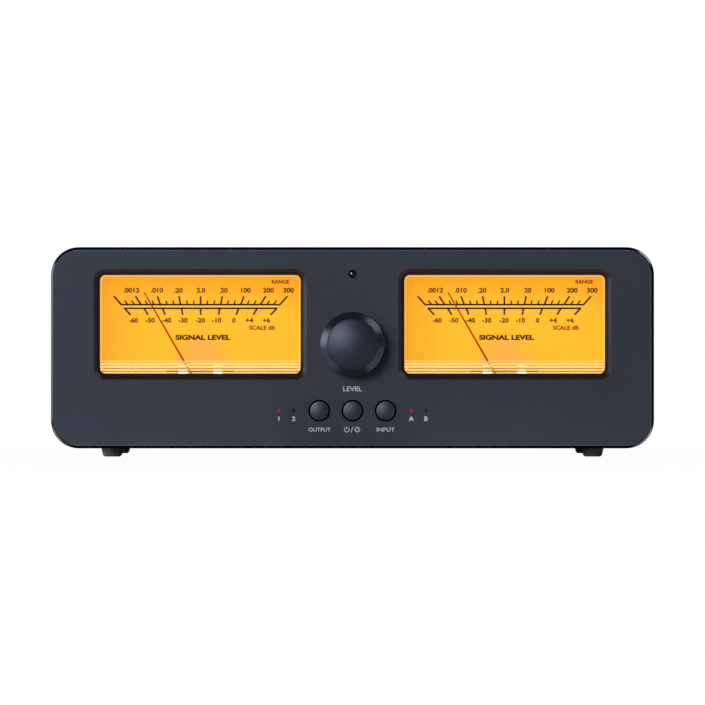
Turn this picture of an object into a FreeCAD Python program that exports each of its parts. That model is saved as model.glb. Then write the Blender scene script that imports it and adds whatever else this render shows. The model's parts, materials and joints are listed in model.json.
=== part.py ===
import FreeCAD, Part
import os
import re
import Sketcher

# Driving sizes in millimetres and degrees. A depth counts back from the panel's front face and a
# rise counts up from the panel's bottom edge. A size that follows others is a formula after "=".
SIZES = {
    # Front panel, machined from one thick plate
    "panel_wide": 240.0,
    "panel_tall": "=window_foot_rise + window_tall + window_top_band",
    "panel_thick": 8.0,
    "panel_corner": 11.1,
    "panel_edge": 0.9,
    # Meter windows, two alike, bevelled at the front
    "window_spread": 121.2,
    "window_foot_rise": 28.9,
    "window_top_band": 10.2,
    "window_rise": "=window_foot_rise + window_tall / 2",
    "window_wide": 81.7,
    "window_tall": 41.0,
    "window_corner": 3.1,
    "window_bevel": 1.5,
    "window_wall": 3.0,
    # Case: an extruded sleeve closed by a flat back plate
    "sleeve_long": 128.0,
    "sleeve_inset": 0.6,
    "sleeve_wall": 2.2,
    "boss_across": 7.0,
    "boss_inset": 4.2,
    "rail_wide": 1.6,
    "rail_tall": 2.4,
    "back_thick": 2.0,
    "back_inset": 0.3,
    # Feet
    "foot_drop": 3.5,
    "foot_spread": 192.4,
    "foot_front_depth": 22.0,
    "foot_back_margin": 14.0,
    "foot_pitch": "=panel_thick + sleeve_long - foot_front_depth - foot_back_margin",
    "foot_top_across": 9.2,
    "foot_base_across": 7.3,
    "foot_edge": 0.6,
    # Screws
    "screw_across": 3.0,
    "screw_long": 6.0,
    "back_screw_long": 9.0,
    "screw_head_across": 5.6,
    "screw_head_tall": 2.0,
    "screw_socket_across": 2.3,
    "screw_gap": 0.05,
    "back_hole_gap": 0.1,
    "screw_hole_deep": 5.0,
    # Tray that carries the boards
    "tray_wide": 206.0,
    "tray_thick": 1.2,
    "tray_flange_tall": 7.6,
    "tray_screw_rise": 7.2,
    "tray_screw_spread": 180.0,
    "standoff_tall": 7.0,
    "standoff_across": 6.0,
    "standoff_spread": 186.0,
    "standoff_front_depth": 46.0,
    "standoff_back_margin": 16.0,
    "standoff_pitch": "=panel_thick + sleeve_long - standoff_front_depth - standoff_back_margin",
    # Boards and what stands on them
    "board_thick": 1.6,
    "main_board_wide": 204.0,
    "main_board_depth": 38.0,
    "main_board_back_margin": 4.0,
    "main_board_long": "=panel_thick + sleeve_long - main_board_depth - main_board_back_margin",
    "terminal_board_wide": 172.0,
    "terminal_board_margin": 9.0,
    "relay_edge": 0.5,
    "relay_wide": 15.0,
    "relay_long": 19.0,
    "relay_tall": 15.0,
    "relay_pitch": 40.0,
    "relay_depth": 88.0,
    "can_across": 8.0,
    "can_tall": 12.0,
    "can_pitch": 24.0,
    "can_depth": 62.0,
    # Control board behind the middle of the panel
    "control_board_depth": 12.0,
    "control_board_wide": 70.0,
    "control_board_low": 5.0,
    "control_board_bar": 19.0,
    "control_board_tongue": 24.0,
    "control_board_high": 76.0,
    "cable_wide": 20.0,
    "cable_thick": 1.0,
    "cable_sag": 3.0,
    "cable_lap": 5.0,
    "dome_flat_across": 0.8,
    # Level knob, its shaft and the turning control
    "knob_rise": 41.4,
    "knob_across": 25.5,
    "knob_reach": 15.0,
    "knob_gap": 0.8,
    "knob_face_across": 20.2,
    "knob_dome": 1.3,
    "knob_step": 0.25,
    "knob_bevel": 2.0,
    "knob_bevel_round": 4.0,
    "knob_hollow_across": 18.0,
    "knob_hollow_deep": 4.2,
    "knob_bore_deep": 7.0,
    "shaft_across": 6.0,
    "shaft_flat": 0.5,
    "shaft_gap": 0.05,
    "control_wide": 12.0,
    "control_tall": 13.4,
    "control_thick": 6.0,
    "control_pocket_gap": 2.0,
    "control_wall": 5.5,
    "bush_wall": 0.5,
    "bush_across": "=shaft_across + 2 * bush_wall",
    "bush_reach": 2.6,
    "bush_gap": 0.1,
    "nut_wall": 1.5,
    "nut_across": "=bush_across + 2 * nut_wall",
    "nut_thick": 2.0,
    # Push buttons and their switches
    "button_rise": 15.0,
    "button_pitch": 13.2,
    "button_across": 7.5,
    "button_hole": 8.6,
    "button_reach": 1.3,
    "button_dome": 0.45,
    "button_travel": 1.0,
    "button_flange_across": 10.4,
    "button_flange_thick": 1.0,
    "button_flange_gap": 0.2,
    "button_recess_across": 11.2,
    "button_recess_wall": 5.0,
    "plunger_wide": 3.0,
    "plunger_gap": 0.05,
    "plunger_long": 2.8,
    "switch_wide": 6.0,
    "switch_thick": 3.5,
    "plunger_spare": 1.6,
    "switch_bore_deep": "=button_travel + plunger_spare",
    # Indicators and the remote control's window
    "indicator_inner_spread": 46.8,
    "indicator_outer_spread": 58.5,
    "indicator_across": 1.5,
    "indicator_gap": 0.1,
    "sensor_rise": 69.4,
    "sensor_across": 2.8,
    "sensor_gap": 0.15,
    "sensor_dome": 0.3,
    "sensor_bevel": 0.15,
    # Meter: clear cover, case, dial
    "cover_gap": 0.7,
    "cover_recess": 2.0,
    "cover_glass": 1.5,
    "cover_flange": 3.0,
    "cover_flange_thick": 1.5,
    "cover_seat_gap": 0.1,
    "cover_rim": 1.6,
    "rib_pitch": 1.15,
    "rib_deep": 0.3,
    "rib_wide": 0.5,
    "case_side_lip": 4.15,
    "case_end_lip": 4.0,
    "case_wide": "=window_wide + 2 * case_side_lip",
    "case_tall": "=window_tall + 2 * case_end_lip",
    "case_wall": 1.5,
    "case_depth": 25.0,
    "case_gap": 0.5,
    "bay_wide": 28.0,
    "bay_drop": 14.2,
    "ear_wide": 9.0,
    "ear_thick": 2.0,
    "dial_depth": 9.6,
    "dial_thick": 1.5,
    "dial_gap": 0.25,
    # Meter movement, about the needle's pivot
    "pivot_below_window": 5.7,
    "pivot_drop": "=window_tall / 2 + pivot_below_window",
    "staff_across": 1.2,
    "staff_gap": 0.05,
    "yoke_across": 21.0,
    "yoke_bore": 14.0,
    "yoke_depth": 12.8,
    "yoke_thick": 7.4,
    "core_across": 9.0,
    "core_web": 2.4,
    "bridge_depth": 6.4,
    "bridge_thick": 1.0,
    "bridge_tall": 4.0,
    "bridge_half_wide": 12.2,
    "bridge_post": 2.4,
    "coil_half_wide": 6.2,
    "coil_side": 1.3,
    "coil_tall": 4.0,
    "coil_gap": 0.4,
    "coil_end": 0.9,
    "coil_rear_room": 0.6,
    # Needle
    "needle_long": 44.9,
    "needle_base": 0.8,
    "needle_tip": 0.45,
    "needle_thick": 0.4,
    "needle_depth": 8.0,
    "needle_hub_across": 5.0,
    "needle_hub_thick": 1.0,
    "needle_hub_gap": 0.02,
    "needle_tail": 7.6,
    "needle_weight": 2.4,
    "needle_rest_angle": -30.0,
    # Lamps at the foot of the dial
    "lamp_rise": 7.2,
    "lamp_board_wide": 26.6,
    "lamp_board_thick": 0.6,
    "lamp_board_deep": 1.8,
    "lamp_board_depth": 5.4,
    "lamp_spread": 13.8,
    "lamp_drop": 0.6,
    "lamp_wide": 3.5,
    "lamp_tall": 1.9,
    "lamp_thick": 0.9,
    "lamp_leg_wide": 2.0,
    "lamp_leg_thick": 0.8,
    # Speaker wire terminals on the back
    "terminal_group_pitch": 46.0,
    "terminal_pair_pitch": 19.0,
    "terminal_row_rise": 26.0,
    "terminal_row_pitch": 26.0,
    "terminal_slot": 9.0,
    "terminal_tail": 9.0,
    "base_wide": 34.0,
    "base_tall": 15.0,
    "base_thick": 4.0,
    "base_corner": 2.5,
    "post_across": 6.0,
    "post_gap": 0.05,
    "post_inset": 0.5,
    "plug_bore": 4.0,
    "plug_bore_deep": 13.0,
    "cap_across": 13.0,
    "cap_travel": 5.0,
    "cap_hold": 10.0,
    "cap_long": "=cap_travel + cap_hold",
    "cap_gap": 0.2,
    "cap_groove_deep": 0.8,
    # Power socket
    "socket_offset": 97.0,
    "socket_wide": 9.0,
    "socket_tall": 11.0,
    "socket_long": 14.0,
    "socket_nose_across": 8.6,
    "socket_nose_reach": 0.6,
    "socket_hole": 9.0,
    "socket_bore": 6.3,
    "socket_bore_deep": 9.5,
    "socket_pin": 2.0,
    "socket_pin_long": 8.5,
}

# Formulas that several pieces share
BACK = "(panel_thick + sleeve_long)"
TERMINAL_REACH = "(base_thick + cap_gap + cap_long)"
WHOLE_DEPTH = f"(knob_reach + {BACK} + back_thick + {TERMINAL_REACH})"
PANEL_FRONT = f"(knob_reach - {WHOLE_DEPTH} / 2)"
FLOOR_RISE = "(sleeve_inset + sleeve_wall)"
BOARD_RISE = f"({FLOOR_RISE} + tray_thick + standoff_tall)"
BOARD_TOP = f"({BOARD_RISE} + board_thick)"
COVER_WIDE = "(window_wide - 2 * cover_gap)"
COVER_TALL = "(window_tall - 2 * cover_gap)"
COVER_CORNER = "(window_corner - cover_gap)"
CASE_FRONT = "(window_wall + cover_seat_gap + cover_flange_thick)"
EAR_OFFSET = "(bay_wide / 2 + ear_wide / 2)"
EAR_RISE = "(window_rise - case_tall / 2 - ear_wide / 2 - case_gap)"
SCREW_HOLE = "(screw_across + 2 * screw_gap)"
CONTROL_FRONT = "(control_board_depth - control_thick)"
SWITCH_FRONT = "(control_board_depth - switch_thick)"
PIVOT_RISE = "(window_rise - pivot_drop)"
COIL_FRONT = "(yoke_depth - coil_gap - coil_end)"
COIL_BACK = "(yoke_depth + yoke_thick + coil_gap + coil_end)"
REAR_BRIDGE = f"({COIL_BACK} + coil_rear_room)"

# Small round details are drawn with flats: more where they show, fewer inside
SHOWN_SIDES = 12
PIN_SIDES = 8
FOOT_SIDES = 20
GRIP_RIDGES = 8

SIDES = {"left": -1, "right": 1}
TERMINAL_SETS = ("output_2", "output_1", "input_b", "input_a")
CHANNELS = {"right": 0, "left": 1}
POLES = {"minus": -1, "plus": 1}

doc = FreeCAD.newDocument("preamplifier")
sheet = doc.addObject("Spreadsheet::Sheet", "Sizes")
nodes = []


def fill_sheet():
    """Names a cell after each size, then writes the size or its formula there."""
    for row, name in enumerate(SIZES, 1):
        sheet.set(f"A{row}", name)
        sheet.setAlias(f"B{row}", name)
    for row, value in enumerate(SIZES.values(), 1):
        sheet.set(f"B{row}", str(value))
    doc.recompute()


def on_sheet(formula):
    """The formula with every named size read from the sheet."""
    return re.sub(r"\b[a-z]+(?:_[a-z]+)+\b", lambda name: "Sizes." + name.group(0), formula)


def measure(formula):
    """The formula's present value."""
    return float(sheet.evalExpression(on_sheet(formula)))


def bind(item, setting, formula):
    """Ties a setting of an object to the sheet."""
    item.setExpression(setting, on_sheet(formula))


class Drawing:
    """A sketch on one of a body's own planes, held by formulas."""

    def __init__(self, body, plane, level="0"):
        self.body = body
        self.plane = plane
        self.sketch = body.newObject("Sketcher::SketchObject", "drawing")
        support = next(f for f in body.Origin.OriginFeatures if f.Role == plane)
        self.sketch.AttachmentSupport = [(support, "")]
        self.sketch.MapMode = "FlatFace"
        sign = -1 if plane == "XZ_Plane" else 1
        bind(self.sketch, "AttachmentOffset.Base.z", f"{sign} * ({level})")

    def hold(self, kind, formula, *where):
        """Adds one constraint whose value follows the sheet."""
        index = self.sketch.addConstraint(Sketcher.Constraint(kind, *where, measure(formula)))
        bind(self.sketch, f"Constraints[{index}]", formula)

    def circle(self, x, y, across):
        centre = FreeCAD.Vector(measure(x), measure(y), 0)
        ring = self.sketch.addGeometry(
            Part.Circle(centre, FreeCAD.Vector(0, 0, 1), measure(across) / 2)
        )
        self.hold("DistanceX", x, ring, 3)
        self.hold("DistanceY", y, ring, 3)
        self.hold("Diameter", across, ring)

    def outline(self, corners):
        """A closed outline. A corner is (x, y), or (x, y, radius) where an arc leads to the next
        corner, about a centre on the left of the way there, or on the right for a radius that
        begins with a minus sign."""
        points = [FreeCAD.Vector(measure(c[0]), measure(c[1]), 0) for c in corners]
        starts, ends, edges = [], [], []
        for number, corner in enumerate(corners):
            here = points[number]
            there = points[(number + 1) % len(points)]
            if len(corner) == 2:
                edges.append(self.sketch.addGeometry(Part.LineSegment(here, there)))
                starts.append(1)
                ends.append(2)
                continue
            right = corner[2].startswith("-")
            radius = abs(measure(corner[2]))
            chord = there - here
            rise = (radius**2 - chord.Length**2 / 4) ** 0.5
            left_of_way = FreeCAD.Vector(-chord.y, chord.x, 0).normalize()
            centre = (here + there) / 2 + left_of_way * (-rise if right else rise)
            middle = centre + left_of_way * (radius if right else -radius)
            edges.append(self.sketch.addGeometry(Part.Arc(here, middle, there)))
            starts.append(2 if right else 1)
            ends.append(1 if right else 2)
        for number, corner in enumerate(corners):
            following = (number + 1) % len(corners)
            self.sketch.addConstraint(Sketcher.Constraint(
                "Coincident", edges[number], ends[number], edges[following], starts[following]
            ))
            self.hold("DistanceX", corner[0], edges[number], starts[number])
            self.hold("DistanceY", corner[1], edges[number], starts[number])
            if len(corner) == 3:
                self.hold("Radius", corner[2].lstrip("-"), edges[number])

    def facets(self, x, y, across, sides, over_flats=False):
        """A regular outline about a centre, measured across its corners or over its flats."""
        reach = f"{across} / 2" + (f" / cos({180 / sides})" if over_flats else "")
        angles = [180 / sides + 360 / sides * number for number in range(sides)]
        self.outline([
            (f"{x} + {reach} * cos({angle})", f"{y} + {reach} * sin({angle})") for angle in angles
        ])

    def rectangle(self, x, y, wide, tall):
        """A rectangle about a centre."""
        left, right = f"{x} - {wide} / 2", f"{x} + {wide} / 2"
        low, high = f"{y} - {tall} / 2", f"{y} + {tall} / 2"
        self.outline([(left, low), (right, low), (right, high), (left, high)])

    def rounded(self, x, y, wide, tall, radius):
        """A rectangle about a centre, with rounded corners."""
        left, right = f"{x} - {wide} / 2", f"{x} + {wide} / 2"
        low, high = f"{y} - {tall} / 2", f"{y} + {tall} / 2"
        self.outline([
            (f"{left} + {radius}", low),
            (f"{right} - {radius}", low, radius),
            (right, f"{low} + {radius}"),
            (right, f"{high} - {radius}", radius),
            (f"{right} - {radius}", high),
            (f"{left} + {radius}", high, radius),
            (left, f"{high} - {radius}"),
            (left, f"{low} + {radius}", radius),
        ])


def new_body(label):
    body = doc.addObject("PartDesign::Body", label)
    body.Label = label
    return body


def pad(drawing, length):
    """Material from the drawing towards the back, the top or the right."""
    feature = drawing.body.newObject("PartDesign::Pad", "pad")
    feature.Profile = drawing.sketch
    feature.Reversed = drawing.plane == "XZ_Plane"
    bind(feature, "Length", length)
    return feature


def pocket(drawing, length):
    """A cut from the drawing towards the back, the top or the right."""
    feature = drawing.body.newObject("PartDesign::Pocket", "pocket")
    feature.Profile = drawing.sketch
    feature.Reversed = drawing.plane != "XZ_Plane"
    bind(feature, "Length", length)
    return feature


def turn(drawing):
    """Material turned about the drawing's own upright axis."""
    feature = drawing.body.newObject("PartDesign::Revolution", "turning")
    feature.Profile = drawing.sketch
    feature.ReferenceAxis = (drawing.sketch, ["V_Axis"])
    feature.Angle = 360
    return feature


def dress(kind, base, wanted, setting, formula):
    """A fillet or chamfer on the edges of a feature that a test picks out."""
    doc.recompute()
    picked = [f"Edge{n}" for n, edge in enumerate(base.Shape.Edges, 1) if wanted(edge)]
    feature = base.getParentGeoFeatureGroup().newObject("PartDesign::" + kind, kind.lower())
    feature.Base = (base, picked)
    bind(feature, setting, formula)
    return feature


def place(item, x="0", depth="0", rise="0"):
    """Puts a piece at its place in the whole, counted from the panel's front face and foot."""
    bind(item, "Placement.Base.x", x)
    bind(item, "Placement.Base.y", f"{PANEL_FRONT} + {depth}")
    bind(item, "Placement.Base.z", f"foot_drop + {rise}")
    return item


def keep(item):
    """Counts an object as a sub-part that is written out."""
    nodes.append(item)
    return item


def copies(label, master, places, angle=None):
    """One sub-part made of equal copies of a piece, each at (x, depth, rise)."""
    links = []
    for x, depth, rise in places:
        link = doc.addObject("App::Link", f"{label}_copy")
        link.LinkedObject = master
        if angle:
            link.Placement = FreeCAD.Placement(
                FreeCAD.Vector(), FreeCAD.Rotation(FreeCAD.Vector(0, 1, 0), measure(angle))
            )
            bind(link, "Placement.Rotation.Angle", angle)
        links.append(place(link, x, depth, rise))
    group = doc.addObject("Part::Compound", label)
    group.Label = label
    group.Links = links
    return keep(group)


def at_both_meters(name, master, rise="0", angle=None):
    """A left and a right sub-part from one piece drawn about the window's or pivot's centre."""
    for side, sign in SIDES.items():
        copies(f"{side}_{name}", master, [(f"{sign} * window_spread / 2", "0", rise)], angle)


def near(value, formula, gap=0.001):
    return abs(value - measure(formula)) < gap


# Front panel
def make_front_panel():
    body = keep(place(new_body("front_panel")))
    middle = "panel_tall / 2"
    outline = Drawing(body, "XZ_Plane")
    outline.rounded("0", middle, "panel_wide", "panel_tall", "panel_corner")
    plate = pad(outline, "panel_thick")
    dress("Chamfer", plate, lambda edge: edge.BoundBox.YMax < 0.001, "Size", "panel_edge")

    windows = Drawing(body, "XZ_Plane")
    for sign in SIDES.values():
        windows.rounded(
            f"{sign} * window_spread / 2", "window_rise", "window_wide", "window_tall", "window_corner"
        )
    opened = pocket(windows, "panel_thick")
    window_low = measure("window_rise - window_tall / 2") - 0.001
    window_high = measure("window_rise + window_tall / 2") + 0.001
    dress(
        "Chamfer",
        opened,
        lambda edge: edge.BoundBox.YMax < 0.001
        and edge.BoundBox.ZMin > window_low
        and edge.BoundBox.ZMax < window_high,
        "Size",
        "window_bevel",
    )

    # Pockets behind the windows that take the meters, each with a bay for the movement below
    meter_room = Drawing(body, "XZ_Plane", "window_wall")
    for sign in SIDES.values():
        meter_room.rectangle(
            f"{sign} * window_spread / 2",
            "window_rise",
            "(case_wide + 2 * case_gap)",
            "(case_tall + 2 * case_gap)",
        )
    pocket(meter_room, "panel_thick - window_wall")
    bay_room = Drawing(body, "XZ_Plane", "window_wall")
    for sign in SIDES.values():
        bay_room.rectangle(
            f"{sign} * window_spread / 2",
            "(window_rise - case_tall / 2 - bay_drop / 2)",
            "(bay_wide + 2 * case_gap)",
            "(bay_drop + 2 * case_gap)",
        )
    pocket(bay_room, "panel_thick - window_wall")

    # Holes that go right through
    holes = Drawing(body, "XZ_Plane")
    for step in (-1, 0, 1):
        holes.circle(f"{step} * button_pitch", "button_rise", "button_hole")
    for sign in SIDES.values():
        for spread in ("indicator_inner_spread", "indicator_outer_spread"):
            holes.facets(
                f"{sign} * {spread} / 2",
                "button_rise",
                "(indicator_across + 2 * indicator_gap)",
                SHOWN_SIDES,
            )
    holes.facets("0", "knob_rise", "(bush_across + 2 * bush_gap)", PIN_SIDES)
    holes.circle("0", "sensor_rise", "(sensor_across + 2 * sensor_gap)")
    drilled = pocket(holes, "panel_thick")
    dress(
        "Chamfer",
        drilled,
        lambda edge: edge.BoundBox.YMax < 0.001
        and near(edge.BoundBox.Center.z, "sensor_rise")
        and near(edge.BoundBox.XLength, "sensor_across + 2 * sensor_gap"),
        "Size",
        "sensor_bevel",
    )

    # Recesses behind the row of buttons and the turning control
    recess = Drawing(body, "XZ_Plane", "button_recess_wall")
    recess.rectangle(
        "0", "button_rise", "(2 * button_pitch + button_recess_across)", "button_recess_across"
    )
    pocket(recess, "panel_thick - button_recess_wall")
    control_room = Drawing(body, "XZ_Plane", "control_wall")
    control_room.rectangle(
        "0",
        "knob_rise",
        "(control_wide + 2 * control_pocket_gap)",
        "(control_tall + 2 * control_pocket_gap)",
    )
    pocket(control_room, "panel_thick - control_wall")

    # Blind screw holes for the tray and the meters
    screw_holes = Drawing(body, "XZ_Plane", "panel_thick - screw_hole_deep")
    for step in (-1, 0, 1):
        screw_holes.facets(
            f"{step} * tray_screw_spread / 2", "tray_screw_rise", SCREW_HOLE, PIN_SIDES
        )
    for sign in SIDES.values():
        for ear in (-1, 1):
            x = f"{sign} * window_spread / 2 + {ear} * {EAR_OFFSET}"
            screw_holes.facets(x, EAR_RISE, SCREW_HOLE, PIN_SIDES)
    pocket(screw_holes, "screw_hole_deep")


# Case
def boss_places():
    """The centres of the four screw bosses in the sleeve's corners."""
    reach = "(panel_wide / 2 - sleeve_inset - sleeve_wall - boss_inset)"
    low = f"({FLOOR_RISE} + boss_inset)"
    high = f"(panel_tall - {FLOOR_RISE} - boss_inset)"
    return [(f"{sign} * {reach}", rise) for sign in (-1, 1) for rise in (low, high)]


def make_case_sleeve():
    body = keep(place(new_body("case_sleeve")))
    middle = "panel_tall / 2"
    section = Drawing(body, "XZ_Plane", "panel_thick")
    section.rounded(
        "0",
        middle,
        "(panel_wide - 2 * sleeve_inset)",
        "(panel_tall - 2 * sleeve_inset)",
        "(panel_corner - sleeve_inset)",
    )
    section.rounded(
        "0",
        middle,
        f"(panel_wide - 2 * {FLOOR_RISE})",
        f"(panel_tall - 2 * {FLOOR_RISE})",
        f"(panel_corner - {FLOOR_RISE})",
    )
    pad(section, "sleeve_long")
    bosses = Drawing(body, "XZ_Plane", "panel_thick")
    for x, rise in boss_places():
        bosses.facets(x, rise, "boss_across", PIN_SIDES)
    pad(bosses, "sleeve_long")
    # Two low rails that guide the tray's edges
    rails = Drawing(body, "XZ_Plane", "panel_thick")
    for sign in SIDES.values():
        rails.rectangle(
            f"{sign} * (tray_wide / 2 + dial_gap + rail_wide / 2)",
            f"({FLOOR_RISE} + rail_tall / 2)",
            "rail_wide",
            "rail_tall",
        )
    pad(rails, "sleeve_long")
    bores = Drawing(body, "XZ_Plane", "panel_thick")
    for x, rise in boss_places():
        bores.facets(x, rise, SCREW_HOLE, PIN_SIDES)
    pocket(bores, "sleeve_long")


def pair_places():
    """Yields the middle of each pair of terminals, as (x, depth, rise)."""
    for group in range(len(TERMINAL_SETS)):
        for row in CHANNELS.values():
            x = f"({group} - {(len(TERMINAL_SETS) - 1) / 2}) * terminal_group_pitch"
            yield x, "0", f"terminal_row_rise + {row} * terminal_row_pitch"


def terminal_places():
    """Yields each terminal's name, pole, x and rise."""
    names = [f"{group}_{channel}" for group in TERMINAL_SETS for channel in CHANNELS]
    for name, (middle, _, rise) in zip(names, pair_places()):
        for pole, sign in POLES.items():
            yield f"{name}_{pole}", pole, f"{middle} + {sign} * terminal_pair_pitch / 2", rise


def make_rear_panel():
    body = keep(place(new_body("rear_panel")))
    inset = "(sleeve_inset + back_inset)"
    outline = Drawing(body, "XZ_Plane", BACK)
    outline.rounded(
        "0",
        "panel_tall / 2",
        f"(panel_wide - 2 * {inset})",
        f"(panel_tall - 2 * {inset})",
        f"(panel_corner - {inset})",
    )
    pad(outline, "back_thick")
    holes = Drawing(body, "XZ_Plane", BACK)
    for x, _, rise in pair_places():
        holes.rectangle(x, rise, "(terminal_pair_pitch + terminal_slot)", "terminal_slot")
    for x, rise in boss_places():
        holes.facets(x, rise, "(screw_across + 2 * back_hole_gap)", PIN_SIDES)
    holes.circle("socket_offset", f"{BOARD_TOP} + socket_tall / 2", "socket_hole")
    pocket(holes, "back_thick")


def make_feet():
    foot = new_body("foot")
    tall = "(foot_drop + sleeve_inset)"
    base = Drawing(foot, "XY_Plane")
    base.facets("0", "0", "foot_base_across", FOOT_SIDES, over_flats=True)
    cone = pad(base, tall)
    bind(cone, "TaperAngle", f"atan((foot_top_across - foot_base_across) / 2 / {tall})")
    dress("Chamfer", cone, lambda edge: edge.BoundBox.ZMax < 0.001, "Size", "foot_edge")
    places = [
        (f"{sign} * foot_spread / 2", depth, "-foot_drop")
        for sign in SIDES.values()
        for depth in ("foot_front_depth", "foot_front_depth + foot_pitch")
    ]
    copies("feet", foot, places)


# Screws
def make_screw(label, long, head_sides):
    """A round-headed screw whose head's seat is at its origin and whose point is ahead."""
    screw = new_body(label)
    shank = Drawing(screw, "XZ_Plane", f"-{long}")
    shank.facets("0", "0", "screw_across", PIN_SIDES)
    pad(shank, long)
    head = Drawing(screw, "XZ_Plane")
    head.facets("0", "0", "screw_head_across", head_sides)
    pad(head, "screw_head_tall")
    return screw


def make_screws():
    inner = make_screw("machine_screw", "screw_long", PIN_SIDES)
    places = [
        (f"{step} * tray_screw_spread / 2", "panel_thick + tray_thick", "tray_screw_rise")
        for step in (-1, 0, 1)
    ]
    places += [
        (f"{sign} * window_spread / 2 + {ear} * {EAR_OFFSET}", "panel_thick + ear_thick", EAR_RISE)
        for sign in SIDES.values()
        for ear in (-1, 1)
    ]
    copies("machine_screws", inner, places)
    outer = make_screw("back_screw", "back_screw_long", SHOWN_SIDES)
    socket = Drawing(outer, "XZ_Plane", "screw_head_tall / 2")
    socket.facets("0", "0", "screw_socket_across", 6, over_flats=True)
    pocket(socket, "screw_head_tall / 2")
    copies("rear_screws", outer, [(x, f"{BACK} + back_thick", rise) for x, rise in boss_places()])


# Tray, boards and what stands on them
def make_chassis_tray():
    body = keep(place(new_body("chassis_tray")))
    profile = Drawing(body, "YZ_Plane", "-tray_wide / 2")
    front, back = "panel_thick", BACK
    low, high = FLOOR_RISE, f"{FLOOR_RISE} + tray_flange_tall"
    inside = f"{FLOOR_RISE} + tray_thick"
    profile.outline([
        (front, low),
        (back, low),
        (back, high),
        (f"{back} - tray_thick", high),
        (f"{back} - tray_thick", inside),
        (f"{front} + tray_thick", inside),
        (f"{front} + tray_thick", high),
        (front, high),
    ])
    pad(profile, "tray_wide")
    holes = Drawing(body, "XZ_Plane", front)
    for step in (-1, 0, 1):
        holes.facets(
            f"{step} * tray_screw_spread / 2", "tray_screw_rise", SCREW_HOLE, PIN_SIDES
        )
    pocket(holes, "tray_thick")


def make_standoffs():
    standoff = doc.addObject("Part::Prism", "standoff")
    standoff.Polygon = 6
    bind(standoff, "Circumradius", "standoff_across / 2")
    bind(standoff, "Height", "standoff_tall")
    places = [
        (f"{sign} * standoff_spread / 2", depth, f"{FLOOR_RISE} + tray_thick")
        for sign in SIDES.values()
        for depth in ("standoff_front_depth", "standoff_front_depth + standoff_pitch")
    ]
    copies("standoffs", standoff, places)


def make_boards():
    main = keep(place(new_body("main_board")))
    flat = Drawing(main, "XY_Plane", BOARD_RISE)
    flat.rectangle("0", "(main_board_depth + main_board_long / 2)", "main_board_wide", "main_board_long")
    pad(flat, "board_thick")

    # The terminals' tails end on this upright board, which stands on the main board
    upright = keep(place(new_body("terminal_board")))
    face = Drawing(upright, "XZ_Plane", f"{BACK} - terminal_tail - board_thick")
    top = "terminal_row_rise + terminal_row_pitch + terminal_board_margin"
    half = "terminal_board_wide / 2"
    face.outline([(f"-{half}", BOARD_TOP), (half, BOARD_TOP), (half, top), (f"-{half}", top)])
    pad(face, "board_thick")

    control = keep(place(new_body("control_board")))
    shape = Drawing(control, "XZ_Plane", "control_board_depth")
    half, tongue = "control_board_wide / 2", "control_board_tongue / 2"
    low, step = "control_board_low", "control_board_low + control_board_bar"
    shape.outline([
        (f"-{half}", low),
        (half, low),
        (half, step),
        (tongue, step),
        (tongue, "control_board_high"),
        (f"-{tongue}", "control_board_high"),
        (f"-{tongue}", step),
        (f"-{half}", step),
    ])
    pad(shape, "board_thick")


def make_relays_and_cans():
    relay = new_body("relay")
    base = Drawing(relay, "XY_Plane")
    base.rectangle("0", "0", "relay_wide", "relay_long")
    block = pad(base, "relay_tall")
    dress(
        "Chamfer",
        block,
        lambda edge: near(edge.BoundBox.ZMin, "relay_tall"),
        "Size",
        "relay_edge",
    )
    copies(
        "relays",
        relay,
        [(f"{n} * relay_pitch", "relay_depth", BOARD_TOP) for n in (-1.5, -0.5, 0.5, 1.5)],
    )
    can = doc.addObject("Part::Prism", "can")
    can.Polygon = PIN_SIDES
    bind(can, "Circumradius", "can_across / 2")
    bind(can, "Height", "can_tall")
    copies(
        "capacitors",
        can,
        [(f"{n} * can_pitch", "can_depth", BOARD_TOP) for n in (-2, -1, 1, 2)],
    )


def make_board_cable():
    """A flat cable that sags from the control board's back and lies on the main board's edge."""
    body = keep(place(new_body("board_cable")))
    start, end = "control_board_depth + board_thick", "main_board_depth"
    run = f"({end} - {start})"
    bend = f"({run} ^ 2 / (8 * cable_sag) + cable_sag / 2)"
    under, over = BOARD_TOP, f"{BOARD_TOP} + cable_thick"
    profile = Drawing(body, "YZ_Plane", "-cable_wide / 2")
    profile.outline([
        (start, under, bend),
        (end, under),
        (f"{end} + cable_lap", under),
        (f"{end} + cable_lap", over),
        (end, over, f"-{bend}"),
        (start, over),
    ])
    pad(profile, "cable_wide")


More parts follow.
